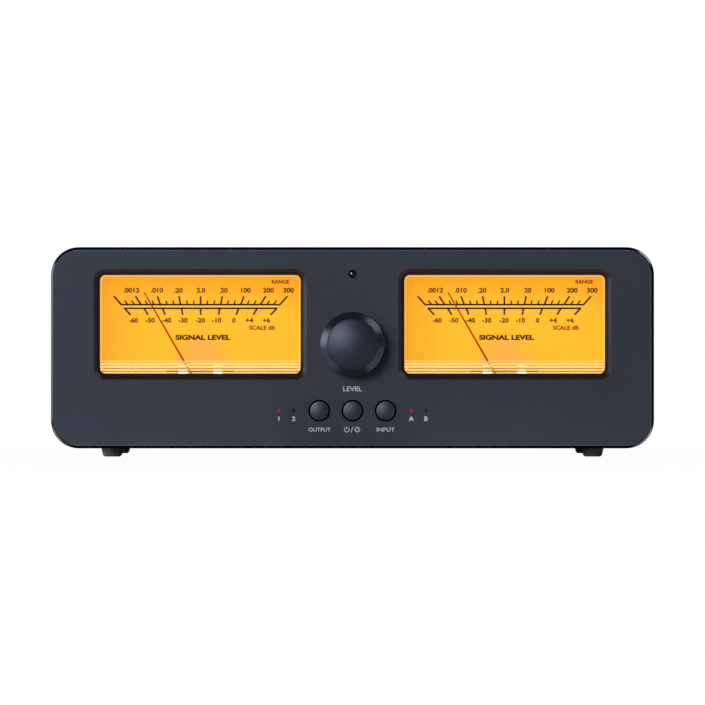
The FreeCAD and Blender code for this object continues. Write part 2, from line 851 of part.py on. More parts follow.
# Level knob
def make_level_control():
    body = keep(place(new_body("level_control"), "0", "0", "knob_rise"))
    block = Drawing(body, "XZ_Plane", CONTROL_FRONT)
    block.rectangle("0", "0", "control_wide", "control_tall")
    pad(block, "control_thick")
    bush = Drawing(body, "XZ_Plane", "-bush_reach")
    bush.facets("0", "0", "bush_across", PIN_SIDES)
    pad(bush, f"bush_reach + {CONTROL_FRONT}")
    bore = Drawing(body, "XZ_Plane", "-bush_reach")
    bore.facets("0", "0", "(shaft_across + 2 * shaft_gap)", PIN_SIDES, over_flats=True)
    pocket(bore, f"bush_reach + {CONTROL_FRONT} + control_thick - board_thick / 2")

    nut = keep(place(new_body("control_nut"), "0", "-nut_thick", "knob_rise"))
    ring = Drawing(nut, "XZ_Plane")
    ring.facets("0", "0", "nut_across", 6, over_flats=True)
    ring.facets("0", "0", "(bush_across + 2 * shaft_gap)", PIN_SIDES)
    pad(ring, "nut_thick")

    shaft = keep(place(new_body("control_shaft"), "0", "0", "knob_rise"))
    tip = "(-knob_gap - knob_hollow_deep - knob_bore_deep + shaft_gap)"
    rod = Drawing(shaft, "XZ_Plane", tip)
    rod.circle("0", "0", "shaft_across")
    pad(rod, f"{CONTROL_FRONT} + control_thick - board_thick - {tip}")
    flat = Drawing(shaft, "XZ_Plane", tip)
    flat.rectangle("0", "shaft_across - shaft_flat", "(2 * shaft_across)", "shaft_across")
    pocket(flat, "knob_bore_deep - shaft_gap")


def domed(across, front, dome):
    """Corners of half a domed face with a small flat at its tip, for an outline that is turned."""
    half, flat = f"{across} / 2", "dome_flat_across / 2"
    depth = f"((({half}) ^ 2 - ({flat}) ^ 2 + {dome} ^ 2) / (2 * {dome}))"
    return [
        ("0", front),
        (flat, front, f"sqrt({depth} ^ 2 + ({flat}) ^ 2)"),
        (half, f"{front} + {dome}"),
    ]


def make_knob():
    body = keep(place(new_body("knob"), "0", "0", "knob_rise"))
    rim = "(-knob_reach + knob_dome)"
    profile = Drawing(body, "XY_Plane")
    profile.outline([
        *domed("knob_face_across", "-knob_reach", "knob_dome"),
        ("knob_face_across / 2", f"{rim} + knob_step", "knob_bevel_round"),
        ("knob_across / 2", f"{rim} + knob_step + knob_bevel"),
        ("knob_across / 2", "-knob_gap"),
        ("knob_hollow_across / 2", "-knob_gap"),
        ("knob_hollow_across / 2", "-knob_gap - knob_hollow_deep"),
        ("0", "-knob_gap - knob_hollow_deep"),
    ])
    turn(profile)
    # The bore is flat on one side, to match the shaft
    bore = Drawing(body, "XZ_Plane", "-knob_gap - knob_hollow_deep - knob_bore_deep")
    radius = "(shaft_across / 2 + shaft_gap)"
    chord = "(shaft_across / 2 - shaft_flat + shaft_gap)"
    half = f"sqrt({radius} ^ 2 - {chord} ^ 2)"
    bore.outline([
        (half, chord),
        (f"-{half}", chord, radius),
        ("0", f"-{radius}", radius),
    ])
    pocket(bore, "knob_bore_deep")


# Buttons, indicators and the remote control's window
def make_buttons():
    cap = new_body("button")
    flange_front = "(button_recess_wall + button_flange_gap)"
    stem_front = f"({flange_front} + button_flange_thick)"
    profile = Drawing(cap, "XY_Plane")
    profile.outline([
        *domed("button_across", "-button_reach", "button_dome"),
        ("button_across / 2", flange_front),
        ("0", flange_front),
    ])
    turn(profile)
    flange = Drawing(cap, "XZ_Plane", flange_front)
    flange.facets("0", "0", "button_flange_across", PIN_SIDES)
    pad(flange, "button_flange_thick")
    stem = Drawing(cap, "XZ_Plane", stem_front)
    stem.rectangle("0", "0", "plunger_wide", "plunger_wide")
    pad(stem, "plunger_long")
    for step, name in ((-1, "output_button"), (0, "power_button"), (1, "input_button")):
        copies(name, cap, [(f"{step} * button_pitch", "0", "button_rise")])

    switch = new_body("switch")
    block = Drawing(switch, "XZ_Plane", SWITCH_FRONT)
    block.rectangle("0", "0", "switch_wide", "switch_wide")
    pad(block, "switch_thick")
    well = Drawing(switch, "XZ_Plane", SWITCH_FRONT)
    side = "(plunger_wide + 2 * plunger_gap)"
    well.rectangle("0", "0", side, side)
    pocket(well, "switch_bore_deep")
    copies(
        "button_switches",
        switch,
        [(f"{step} * button_pitch", "0", "button_rise") for step in (-1, 0, 1)],
    )


def make_indicators():
    """Light pipes from the control board to the panel's face, one of each pair lit."""
    pipe = new_body("light_pipe")
    spot = Drawing(pipe, "XZ_Plane")
    spot.facets("0", "0", "indicator_across", SHOWN_SIDES)
    pad(spot, "control_board_depth")
    inner, outer = "indicator_inner_spread / 2", "indicator_outer_spread / 2"
    lit = [(f"-{outer}", "0", "button_rise"), (inner, "0", "button_rise")]
    unlit = [(f"-{inner}", "0", "button_rise"), (outer, "0", "button_rise")]
    copies("lit_indicators", pipe, lit)
    copies("unlit_indicators", pipe, unlit)


def make_remote_window():
    body = keep(place(new_body("remote_window"), "0", "0", "sensor_rise"))
    profile = Drawing(body, "XY_Plane")
    profile.outline([
        *domed("sensor_across", "-sensor_dome / 2", "sensor_dome"),
        ("sensor_across / 2", "control_board_depth"),
        ("0", "control_board_depth"),
    ])
    turn(profile)


# Meters
def make_meter_cover():
    """A clear moulding: a block that fills the window, a flange behind it and a ribbed foot."""
    cover = new_body("meter_cover")
    block = Drawing(cover, "XZ_Plane", "cover_recess")
    block.rounded("0", "window_rise", COVER_WIDE, COVER_TALL, COVER_CORNER)
    pad(block, f"{CASE_FRONT} - cover_recess")
    flange = Drawing(cover, "XZ_Plane", "window_wall + cover_seat_gap")
    flange.rectangle(
        "0",
        "window_rise",
        "(window_wide + 2 * cover_flange)",
        "(window_tall + 2 * cover_flange)",
    )
    pad(flange, "cover_flange_thick")
    hollow = Drawing(cover, "XZ_Plane", "cover_recess + cover_glass")
    hollow.rectangle(
        "0", "window_rise", f"({COVER_WIDE} - 2 * cover_rim)", f"({COVER_TALL} - 2 * cover_rim)"
    )
    pocket(hollow, f"{CASE_FRONT} - cover_recess - cover_glass")
    # Grooves between the ribs, cut right across the front
    grooves = Drawing(cover, "YZ_Plane", f"-{COVER_WIDE} / 2")
    for rib in range(1, 5):
        rise = f"(window_rise - {COVER_TALL} / 2 + {rib} * rib_pitch)"
        grooves.outline([
            ("cover_recess", f"{rise} - rib_wide / 2"),
            ("cover_recess + rib_deep", rise),
            ("cover_recess", f"{rise} + rib_wide / 2"),
        ])
    pocket(grooves, COVER_WIDE)
    at_both_meters("meter_cover", cover)


def make_meter_case():
    """A box open to the front, with a bay below for the movement and two screw ears."""
    case = new_body("meter_case")

    def tee(drawing, wall):
        """The box and its bay as one outline, drawn in by a wall."""
        half, bay = f"(case_wide / 2 - {wall})", f"(bay_wide / 2 - {wall})"
        high = f"window_rise + case_tall / 2 - {wall}"
        shoulder = f"window_rise - case_tall / 2 + {wall}"
        low = f"window_rise - case_tall / 2 - bay_drop + {wall}"
        drawing.outline([
            (f"-{bay}", low),
            (bay, low),
            (bay, shoulder),
            (half, shoulder),
            (half, high),
            (f"-{half}", high),
            (f"-{half}", shoulder),
            (f"-{bay}", shoulder),
        ])

    outside = Drawing(case, "XZ_Plane", CASE_FRONT)
    tee(outside, "0")
    pad(outside, f"case_depth - {CASE_FRONT}")
    ears = Drawing(case, "XZ_Plane", "panel_thick")
    ears.rectangle("0", EAR_RISE, "(bay_wide + 2 * ear_wide)", "ear_wide")
    pad(ears, "ear_thick")
    inside = Drawing(case, "XZ_Plane", CASE_FRONT)
    tee(inside, "case_wall")
    pocket(inside, f"case_depth - {CASE_FRONT} - case_wall")
    holes = Drawing(case, "XZ_Plane", "panel_thick")
    for ear in (-1, 1):
        holes.facets(f"{ear} * {EAR_OFFSET}", EAR_RISE, SCREW_HOLE, PIN_SIDES)
    pocket(holes, "ear_thick")
    at_both_meters("meter_case", case)


def make_dial():
    dial = new_body("dial")
    face = Drawing(dial, "XZ_Plane", "dial_depth")
    half = "(case_wide / 2 - case_wall - dial_gap)"
    reach = "(case_tall / 2 - case_wall - dial_gap)"
    low, high = f"window_rise - {reach}", f"window_rise + {reach}"
    face.outline([(f"-{half}", low), (half, low), (half, high), (f"-{half}", high)])
    pad(face, "dial_thick")
    at_both_meters("dial", dial)


def make_movement():
    """A moving-coil movement about the pivot: an iron yoke round a fixed core, and two bridges
    that carry the coil's staff."""
    movement = new_body("movement")
    yoke = Drawing(movement, "XZ_Plane", "yoke_depth")
    yoke.facets("0", "0", "yoke_across", PIN_SIDES, over_flats=True)
    yoke.facets("0", "0", "yoke_bore", PIN_SIDES, over_flats=True)
    pad(yoke, "yoke_thick")
    webs = Drawing(movement, "XZ_Plane", "yoke_depth")
    webs.rectangle("0", "0", "core_web", "(yoke_bore + core_web)")
    pad(webs, "yoke_thick")
    core = Drawing(movement, "XZ_Plane", "yoke_depth")
    core.facets("0", "0", "core_across", PIN_SIDES)
    pad(core, "yoke_thick")
    posts = Drawing(movement, "XZ_Plane", "bridge_depth")
    for sign in SIDES.values():
        posts.rectangle(
            f"{sign} * (bridge_half_wide - bridge_post / 2)", "0", "bridge_post", "bridge_tall"
        )
    pad(posts, "case_depth - case_wall - bridge_depth")
    for depth in ("bridge_depth", REAR_BRIDGE):
        bridge = Drawing(movement, "XZ_Plane", depth)
        bridge.rectangle("0", "0", "(2 * bridge_half_wide)", "bridge_tall")
        bridge.facets("0", "0", "(staff_across + 2 * staff_gap)", PIN_SIDES, over_flats=True)
        pad(bridge, "bridge_thick")
    at_both_meters("movement", movement, PIVOT_RISE)


def make_coil():
    """The wound frame that turns round the core, with the staff that the bridges carry."""
    coil = new_body("coil")
    for sign in SIDES.values():
        side = Drawing(coil, "XZ_Plane", COIL_FRONT)
        side.rectangle(f"{sign} * (coil_half_wide - coil_side / 2)", "0", "coil_side", "coil_tall")
        pad(side, f"{COIL_BACK} - {COIL_FRONT}")
        if sign < 0:
            for depth in (COIL_FRONT, f"{COIL_BACK} - coil_end"):
                end = Drawing(coil, "XZ_Plane", depth)
                end.rectangle("0", "0", "(2 * coil_half_wide)", "coil_tall")
                pad(end, "coil_end")
    front = Drawing(coil, "XZ_Plane", "bridge_depth")
    front.facets("0", "0", "staff_across", PIN_SIDES)
    pad(front, f"{COIL_FRONT} - bridge_depth")
    back = Drawing(coil, "XZ_Plane", COIL_BACK)
    back.facets("0", "0", "staff_across", PIN_SIDES)
    pad(back, f"{REAR_BRIDGE} + bridge_thick - {COIL_BACK}")
    at_both_meters("coil", coil, PIVOT_RISE, "needle_rest_angle")


def make_needle():
    """The pointer with its hub and balance weight, drawn upright and turned to its rest."""
    needle = new_body("needle")
    hub_start = "(needle_depth + needle_thick / 2 - needle_hub_thick / 2)"
    hub = Drawing(needle, "XZ_Plane", hub_start)
    hub.facets("0", "0", "needle_hub_across", PIN_SIDES)
    pad(hub, "needle_hub_thick")
    pointer = Drawing(needle, "XZ_Plane", "needle_depth")
    pointer.outline([
        ("-needle_weight / 2", "-needle_tail"),
        ("needle_weight / 2", "-needle_tail"),
        ("needle_weight / 2", "-needle_tail + needle_weight"),
        ("needle_base / 2", "-needle_tail + needle_weight"),
        ("needle_base / 2", "0"),
        ("needle_tip / 2", "needle_long"),
        ("-needle_tip / 2", "needle_long"),
        ("-needle_base / 2", "0"),
        ("-needle_base / 2", "-needle_tail + needle_weight"),
        ("-needle_weight / 2", "-needle_tail + needle_weight"),
    ])
    pad(pointer, "needle_thick")
    bore = Drawing(needle, "XZ_Plane", hub_start)
    bore.facets("0", "0", "(staff_across + 2 * needle_hub_gap)", PIN_SIDES)
    pocket(bore, "needle_hub_thick")
    at_both_meters("needle", needle, PIVOT_RISE, "needle_rest_angle")


def make_lamp_strip():
    """A narrow board on two legs in front of the needle, with a lamp on each leg."""
    strip = new_body("lamp_strip")
    board = Drawing(strip, "XZ_Plane", "lamp_board_depth")
    board.rectangle("0", "(lamp_rise + lamp_board_thick / 2)", "lamp_board_wide", "lamp_board_thick")
    pad(board, "lamp_board_deep")
    legs = Drawing(strip, "XZ_Plane", "bridge_depth - lamp_leg_thick")
    low, high = "-bridge_tall / 2", "(lamp_rise + lamp_board_thick / 2)"
    for sign in SIDES.values():
        left = f"{sign} * lamp_spread / 2 - lamp_leg_wide / 2"
        right = f"{sign} * lamp_spread / 2 + lamp_leg_wide / 2"
        legs.outline([(left, low), (right, low), (right, high), (left, high)])
    pad(legs, "lamp_leg_thick")
    lamps = Drawing(strip, "XZ_Plane", "bridge_depth - lamp_leg_thick - lamp_thick")
    for sign in SIDES.values():
        lamps.rectangle(f"{sign} * lamp_spread / 2", f"({high} - lamp_drop)", "lamp_wide", "lamp_tall")
    pad(lamps, "lamp_thick")
    at_both_meters("lamp_strip", strip, PIVOT_RISE)


# Back terminals and power socket
def make_terminals():
    outer = f"{BACK} + back_thick"
    cap_start = f"{outer} + base_thick + cap_gap"
    post_end = f"{cap_start} + cap_long - post_inset"

    post = new_body("post")
    rod = Drawing(post, "XZ_Plane", f"{BACK} - terminal_tail")
    rod.facets("0", "0", "post_across", PIN_SIDES)
    pad(rod, f"{post_end} - {BACK} + terminal_tail")
    bore = Drawing(post, "XZ_Plane", f"{post_end} - plug_bore_deep")
    bore.circle("0", "0", "plug_bore")
    pocket(bore, "plug_bore_deep")
    copies("terminal_posts", post, [(x, "0", rise) for _, _, x, rise in terminal_places()])

    # One base for each pair of posts, with its corners cut off
    base = new_body("base")
    plate = Drawing(base, "XZ_Plane", outer)
    half, cut_half = "base_wide / 2", "(base_wide / 2 - base_corner)"
    reach, cut_reach = "base_tall / 2", "(base_tall / 2 - base_corner)"
    plate.outline([
        (cut_half, f"-{reach}"),
        (half, f"-{cut_reach}"),
        (half, cut_reach),
        (cut_half, reach),
        (f"-{cut_half}", reach),
        (f"-{half}", cut_reach),
        (f"-{half}", f"-{cut_reach}"),
        (f"-{cut_half}", f"-{reach}"),
    ])
    side = "(post_across + 2 * post_gap)"
    for pole in POLES.values():
        plate.rectangle(f"{pole} * terminal_pair_pitch / 2", "0", side, side)
    pad(plate, "base_thick")
    copies("terminal_bases", base, list(pair_places()))

    # The grip is ridged all round
    cap = new_body("cap")
    grip = Drawing(cap, "XZ_Plane", cap_start)
    ridge, groove = "cap_across / 2", "(cap_across / 2 - cap_groove_deep)"
    step = 360 / GRIP_RIDGES
    corners = []
    for number in range(GRIP_RIDGES):
        for radius, angle in ((ridge, step * number), (groove, step * (number + 0.5))):
            corners.append((f"{radius} * cos({angle})", f"{radius} * sin({angle})"))
    grip.outline(corners)
    grip.facets("0", "0", "(post_across + 2 * post_gap)", PIN_SIDES)
    pad(grip, "cap_long")
    for name, _, x, rise in terminal_places():
        copies(f"{name}_cap", cap, [(x, "0", rise)])


def make_dc_socket():
    body = keep(place(new_body("dc_socket"), "socket_offset", "0", f"{BOARD_TOP} + socket_tall / 2"))
    block = Drawing(body, "XZ_Plane", f"{BACK} - socket_long")
    block.rectangle("0", "0", "socket_wide", "socket_tall")
    pad(block, "socket_long")
    nose = Drawing(body, "XZ_Plane", BACK)
    nose.circle("0", "0", "socket_nose_across")
    pad(nose, "back_thick + socket_nose_reach")
    end = f"{BACK} + back_thick + socket_nose_reach"
    bore = Drawing(body, "XZ_Plane", f"{end} - socket_bore_deep")
    bore.circle("0", "0", "socket_bore")
    bore.circle("0", "0", "socket_pin")
    pocket(bore, "socket_bore_deep")
    tip = Drawing(body, "XZ_Plane", f"{end} - socket_bore_deep + socket_pin_long")
    tip.facets("0", "0", "(socket_pin + socket_bore) / 2", PIN_SIDES)
    pocket(tip, "socket_bore_deep - socket_pin_long")


def check_model():
    """Stops where a feature failed, a cut removed nothing or a sub-part isn't sound."""
    for item in doc.Objects:
        if {"Invalid", "Error"} & set(item.State):
            raise ValueError(f"{item.Label} failed: {item.State}")
        if item.TypeId == "PartDesign::Pocket":
            if item.Shape.Volume > item.BaseFeature.Shape.Volume - 0.01:
                raise ValueError(f"{item.getParentGeoFeatureGroup().Label}: {item.Label} cuts nothing")
    for item in nodes:
        if item.Shape.isNull() or not item.Shape.isValid() or not item.Shape.Solids:
            raise ValueError(f"{item.Label} has no sound shape")


def write_parts():
    os.makedirs("parts", exist_ok=True)
    for item in nodes:
        item.Shape.exportStep(f"parts/{item.Label}.step")
    print(len(nodes), "sub-parts written")


fill_sheet()
make_front_panel()
make_case_sleeve()
make_rear_panel()
make_feet()
make_screws()
make_chassis_tray()
make_standoffs()
make_boards()
make_relays_and_cans()
make_board_cable()
make_level_control()
make_knob()
make_buttons()
make_indicators()
make_remote_window()
make_meter_cover()
make_meter_case()
make_dial()
make_movement()
make_coil()
make_needle()
make_lamp_strip()
make_terminals()
make_dc_socket()
doc.recompute()
check_model()
write_parts()
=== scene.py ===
import json
import math

import bpy
from mathutils import Matrix, Vector


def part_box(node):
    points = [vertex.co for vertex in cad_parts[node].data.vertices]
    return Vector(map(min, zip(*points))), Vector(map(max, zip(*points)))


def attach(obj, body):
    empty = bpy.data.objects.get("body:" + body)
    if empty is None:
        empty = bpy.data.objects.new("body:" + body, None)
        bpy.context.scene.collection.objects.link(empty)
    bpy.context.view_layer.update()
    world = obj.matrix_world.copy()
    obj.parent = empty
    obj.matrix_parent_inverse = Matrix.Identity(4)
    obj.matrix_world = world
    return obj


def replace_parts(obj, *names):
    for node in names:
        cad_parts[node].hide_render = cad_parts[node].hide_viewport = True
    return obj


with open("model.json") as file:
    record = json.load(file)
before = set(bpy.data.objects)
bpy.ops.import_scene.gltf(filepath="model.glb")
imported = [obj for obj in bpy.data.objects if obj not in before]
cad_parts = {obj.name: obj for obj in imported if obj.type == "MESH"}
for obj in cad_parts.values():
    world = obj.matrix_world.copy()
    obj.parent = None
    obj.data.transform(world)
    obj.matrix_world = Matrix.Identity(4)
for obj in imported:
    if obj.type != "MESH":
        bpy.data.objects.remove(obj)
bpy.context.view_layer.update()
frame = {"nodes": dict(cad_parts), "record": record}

MM = 0.001
SIDES = {"left": -1, "right": 1}


def middle_of(node):
    low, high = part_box(node)
    return (low + high) / 2


# Sizes that both the finishes and the pieces take
PANEL_LOW, PANEL_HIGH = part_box("front_panel")
PANEL_FACE = PANEL_LOW.y
PANEL_CORNER, PANEL_BEVEL = 11.1 * MM, 1.2 * MM
KNOB_FACE = 10.1 * MM
BUTTON_PITCH = middle_of("input_button").x
BUTTON_RISE = middle_of("power_button").z
BUTTON_RADIUS, BUTTON_BORE = 3.75 * MM, 4.3 * MM


# Shader nodes, written as Python expressions
class Wire:
    """A socket of a finish's nodes, on which Python's operators add the nodes that work them out."""

    def __init__(self, finish, socket):
        self.finish = finish
        self.socket = socket

    def __add__(self, other):
        return self.finish.maths("ADD", self, other)

    def __sub__(self, other):
        return self.finish.maths("SUBTRACT", self, other)

    def __rsub__(self, other):
        return self.finish.maths("SUBTRACT", other, self)

    def __mul__(self, other):
        return self.finish.maths("MULTIPLY", self, other)

    def __truediv__(self, other):
        return self.finish.maths("DIVIDE", self, other)

    def __pow__(self, other):
        return self.finish.maths("POWER", self, other)

    def __lt__(self, other):
        return self.finish.maths("LESS_THAN", self, other)

    def __gt__(self, other):
        return self.finish.maths("GREATER_THAN", self, other)

    def __abs__(self):
        return self.finish.maths("ABSOLUTE", self)

    __radd__ = __add__
    __rmul__ = __mul__


class Nodes:
    """The nodes of a material or of the world."""

    def __init__(self, tree):
        self.tree = tree

    def feed(self, socket, value):
        """Links a wire to the socket, or gives it a plain value."""
        if isinstance(value, Wire):
            self.tree.links.new(value.socket, socket)
        elif isinstance(value, tuple) and socket.type == "RGBA" and len(value) == 3:
            socket.default_value = (*value, 1.0)
        else:
            socket.default_value = value

    def node(self, kind, settings=None, inputs=None, output=0):
        """Adds a node, makes its settings, then fills its sockets; gives one output as a wire."""
        node = self.tree.nodes.new("ShaderNode" + kind)
        for setting, value in (settings or {}).items():
            setattr(node, setting, value)
        for socket, value in (inputs or {}).items():
            self.feed(node.inputs[socket], value)
        return Wire(self, node.outputs[output])

    def maths(self, operation, *values):
        return self.node("Math", {"operation": operation}, dict(enumerate(values)))

    def place(self, centre=(0, 0, 0), stretch=(1, 1, 1)):
        """Object coordinates in metres, from a centre and stretched along each axis."""
        here = self.node("TexCoord", output="Object")
        moved = self.node("VectorMath", {"operation": "SUBTRACT"}, {0: here, 1: tuple(centre)})
        return self.node("VectorMath", {"operation": "MULTIPLY"}, {0: moved, 1: tuple(stretch)})

    def axes(self, centre=(0, 0, 0)):
        """The three object coordinates, as numbers."""
        apart = self.node("SeparateXYZ", inputs={0: self.place(centre)}).socket.node
        return [Wire(self, socket) for socket in apart.outputs]

    def noise(self, size, detail=2.0, stretch=(1, 1, 1), roughness=0.5):
        """Smooth random lumps, each about size metres across, from 0 to 1."""
        sockets = {
            "Vector": self.place(stretch=stretch),
            "Scale": 1 / size,
            "Detail": detail,
            "Roughness": roughness,
        }
        return self.node("TexNoise", inputs=sockets, output="Fac")

    def cells(self, size, feature="F1", output="Distance"):
        """Random cells about size metres across."""
        sockets = {"Vector": self.place(), "Scale": 1 / size}
        return self.node("TexVoronoi", {"feature": feature}, sockets, output)

    def spread(self, value, low, high, to_low=0.0, to_high=1.0, smooth=True):
        """Stretches low to high over to_low to to_high, and holds it there beyond them."""
        settings = {"interpolation_type": "SMOOTHSTEP" if smooth else "LINEAR", "clamp": True}
        return self.node(
            "MapRange", settings, {0: value, 1: low, 2: high, 3: to_low, 4: to_high}
        )

    def mix(self, share, first, second):
        """Two colours mixed by a share from 0 to 1."""
        node = self.tree.nodes.new("ShaderNodeMix")
        node.data_type = "RGBA"
        self.feed(node.inputs[0], share)
        self.feed(node.inputs[6], first)
        self.feed(node.inputs[7], second)
        return Wire(self, node.outputs[2])

    def rays(self, *kinds):
        """1 for a ray of any of these kinds."""
        path = self.node("LightPath").socket.node
        return [Wire(self, path.outputs[f"Is {kind} Ray"]) for kind in kinds]

    def blend(self, share, first, second):
        """Shows the second shader in place of a share of the first."""
        choice = self.tree.nodes.new("ShaderNodeMixShader")
        self.feed(choice.inputs[0], share)
        self.tree.links.new(first.outputs[0], choice.inputs[1])
        self.tree.links.new(second.outputs[0], choice.inputs[2])
        output = next(node for node in self.tree.nodes if node.type.startswith("OUTPUT"))
        self.tree.links.new(choice.outputs[0], output.inputs["Surface"])

    def near(self, value, middle, half, soft):
        """1 within half of the middle, falling to 0 over soft."""
        return self.spread(abs(value - middle), half, half + soft, 1.0, 0.0)

    def edges(self, radius):
        """1 along the sharp edges of a piece, falling to 0 a radius away from them."""
        true = self.node("NewGeometry", output="Normal")
        eased = self.node("Bevel", {"samples": 4}, {"Radius": radius})
        alike = self.node(
            "VectorMath", {"operation": "DOT_PRODUCT"}, {0: true, 1: eased}, output="Value"
        )
        return self.spread(alike, 0.78, 0.98, 1.0, 0.0)

    def outside(self, across, rise, half_wide, half_tall, corner):
        """How far a point lies outside a rounded rectangle about 0, less than 0 inside it."""
        beyond = [
            self.maths("MAXIMUM", abs(value) - (half - corner), 0.0)
            for value, half in ((across, half_wide), (rise, half_tall))
        ]
        return (beyond[0] ** 2 + beyond[1] ** 2) ** 0.5 - corner


class Finish(Nodes):
    """A material on one Principled shader."""

    def __init__(self, name, colour, rough=0.5, metal=0.0, **plain):
        self.material = bpy.data.materials.new(name)
        self.material.use_nodes = True
        super().__init__(self.material.node_tree)
        self.shader = self.tree.nodes["Principled BSDF"]
        self.set("Base Color", colour)
        self.set("Roughness", rough)
        self.set("Metallic", metal)
        for socket, value in plain.items():
            self.set(socket.replace("_", " "), value)

    def set(self, socket, value):
        self.feed(self.shader.inputs[socket], value)

    def bump(self, height, metres, strength=1.0):
        """Raises the surface by a height from 0 to 1 of a size in metres."""
        self.set("Normal", self.node(
            "Bump", inputs={"Height": height, "Distance": metres, "Strength": strength}
        ))


def shade(colour, share):
    """The colour times a number."""
    return tuple(part * share for part in colour)


# Metal finishes
def anodised(name, colour, rough, grain=0.12 * MM, metal=0.92, worn=None):
    """Bead-blasted metal under a dyed oxide layer, rubbed to another colour along its edges."""
    finish = Finish(name, colour, metal=metal)
    pits = finish.noise(grain, 3.0)
    clouds = finish.noise(30 * MM, 3.0)
    handling = finish.spread(finish.noise(11 * MM, 5.0, roughness=0.65), 0.52, 0.72)
    tone = finish.spread(pits * 0.6 + clouds * 0.4, 0.3, 0.7)
    finish.skin = finish.mix(tone, shade(colour, 0.93), shade(colour, 1.08))
    if worn:
        rubbed = finish.edges(0.5 * MM) * finish.spread(finish.noise(5 * MM, 4.0), 0.35, 0.6)
        finish.skin = finish.mix(rubbed * 0.8, finish.skin, worn)
    finish.set("Base Color", finish.skin)
    finish.grip = rough + (pits - 0.5) * 0.16 + handling * 0.035
    finish.set("Roughness", finish.grip)
    finish.bump(pits, 0.012 * MM, 0.6)
    return finish


def from_button(finish):
    """How far a point lies from the axis of the nearest button."""
    x, y, z = finish.axes((0, 0, BUTTON_RISE))
    across = finish.maths("MINIMUM", abs(x), abs(abs(x) - BUTTON_PITCH))
    return (across * across + z * z) ** 0.5


def button_cap(name, colour, rough):
    """Anodised cap with a paler ring inside its face's edge as a painted highlight, and a black side as
    painted shade in the gap round it.
    """
    finish = anodised(name, colour, rough, metal=0.85)
    away = from_button(finish)
    # A painted highlight in a ring just inside the face's edge
    rim_highlight = finish.near(away, BUTTON_RADIUS - 0.45 * MM, 0.12 * MM, 0.15 * MM)
    # Painted shade: the cap's side, in the gap round it, black
    side = finish.spread(away, BUTTON_RADIUS - 0.15 * MM, BUTTON_RADIUS - 0.07 * MM)
    skin = finish.mix(rim_highlight, finish.skin, shade(colour, 1.35))
    finish.set("Base Color", finish.mix(side, skin, (0.001, 0.001, 0.002)))
    return finish


def painted_outline_light(finish, pale):
    """Paints light and shade round the panel's edges: painted shade on its smooth bevel but at the lit
    left side, a painted highlight line along the bevel's inner side, painted glints at three corners
    with painted shade just inside them, painted shade in the buttons' bores and the dials' painted warm
    light on the windows' bevels."""
    middle, half = (PANEL_LOW + PANEL_HIGH) / 2, (PANEL_HIGH - PANEL_LOW) / 2
    edge = PANEL_BEVEL
    x, y, z = finish.axes(middle)
    beyond = finish.outside(x, z, half.x, half.z, PANEL_CORNER)
    # Patchiness of the painted highlight line below
    rubbed = 0.6 + finish.noise(6 * MM, 3.0) * 0.8
    # The bevel's left side is lit, so the painted shade and the highlight line leave it out
    off_left = finish.spread(x, 3 * MM - half.x, 8 * MM - half.x)
    # A painted highlight line along the inner side of the bevel
    line = finish.near(beyond, -edge - 0.08 * MM, 0.08 * MM, 0.22 * MM) * off_left
    front = finish.spread(y, edge - half.y, edge - half.y + 0.1 * MM, 1.0, 0.0)
    bevel = finish.spread(beyond, -edge - 0.02 * MM, -edge + 0.12 * MM) * front
    finish.set("Roughness", finish.spread(bevel, 0.0, 1.0, finish.grip, 0.16, smooth=False))
    rounds = [
        finish.maths("MAXIMUM", abs(value) - (size - PANEL_CORNER), 0.0)
        for value, size in ((x, half.x), (z, half.z))
    ]
    turn = rounds[0] * rounds[1] / PANEL_CORNER ** 2
    # Painted glints at every corner but the upper left
    off_upper_left = x - z > -120 * MM
    cornered = finish.spread(turn, 0.12, 0.45) * off_upper_left
    # Where the painted glints lie on the bevel at the corners
    worn = cornered * finish.near(beyond, -0.52 * MM, 0.25 * MM, 0.1 * MM) * front
    # Painted shade: the bevel darkened all round but at its lit left side
    polished = finish.mix(bevel * off_left * 0.9, finish.skin, (0.005, 0.0055, 0.0075))
    with_highlight_line = finish.mix(line * rubbed * (1 - cornered) * 0.7, polished, pale)
    # The painted glints' colours: brighter at the lower corners, dimmer at the upper right one
    glint_colour = finish.mix(z > 0.0, (0.38, 0.39, 0.42), (0.115, 0.118, 0.127))
    # Painted shade in a thin line just inside the painted glints
    glint_inner_shade = finish.near(beyond, -1.1 * MM, 0.19 * MM, 0.06 * MM) * cornered * front
    # Painted shade: the bores round the buttons made black
    bore_shade = finish.spread(
        from_button(finish), BUTTON_BORE + 0.05 * MM, BUTTON_BORE + 0.13 * MM, 1.0, 0.0
    )
    black = finish.maths("MAXIMUM", glint_inner_shade, bore_shade)
    window_glow(finish, finish.mix(black, finish.mix(worn, with_highlight_line, glint_colour), (0.002, 0.002, 0.003)))
    return finish


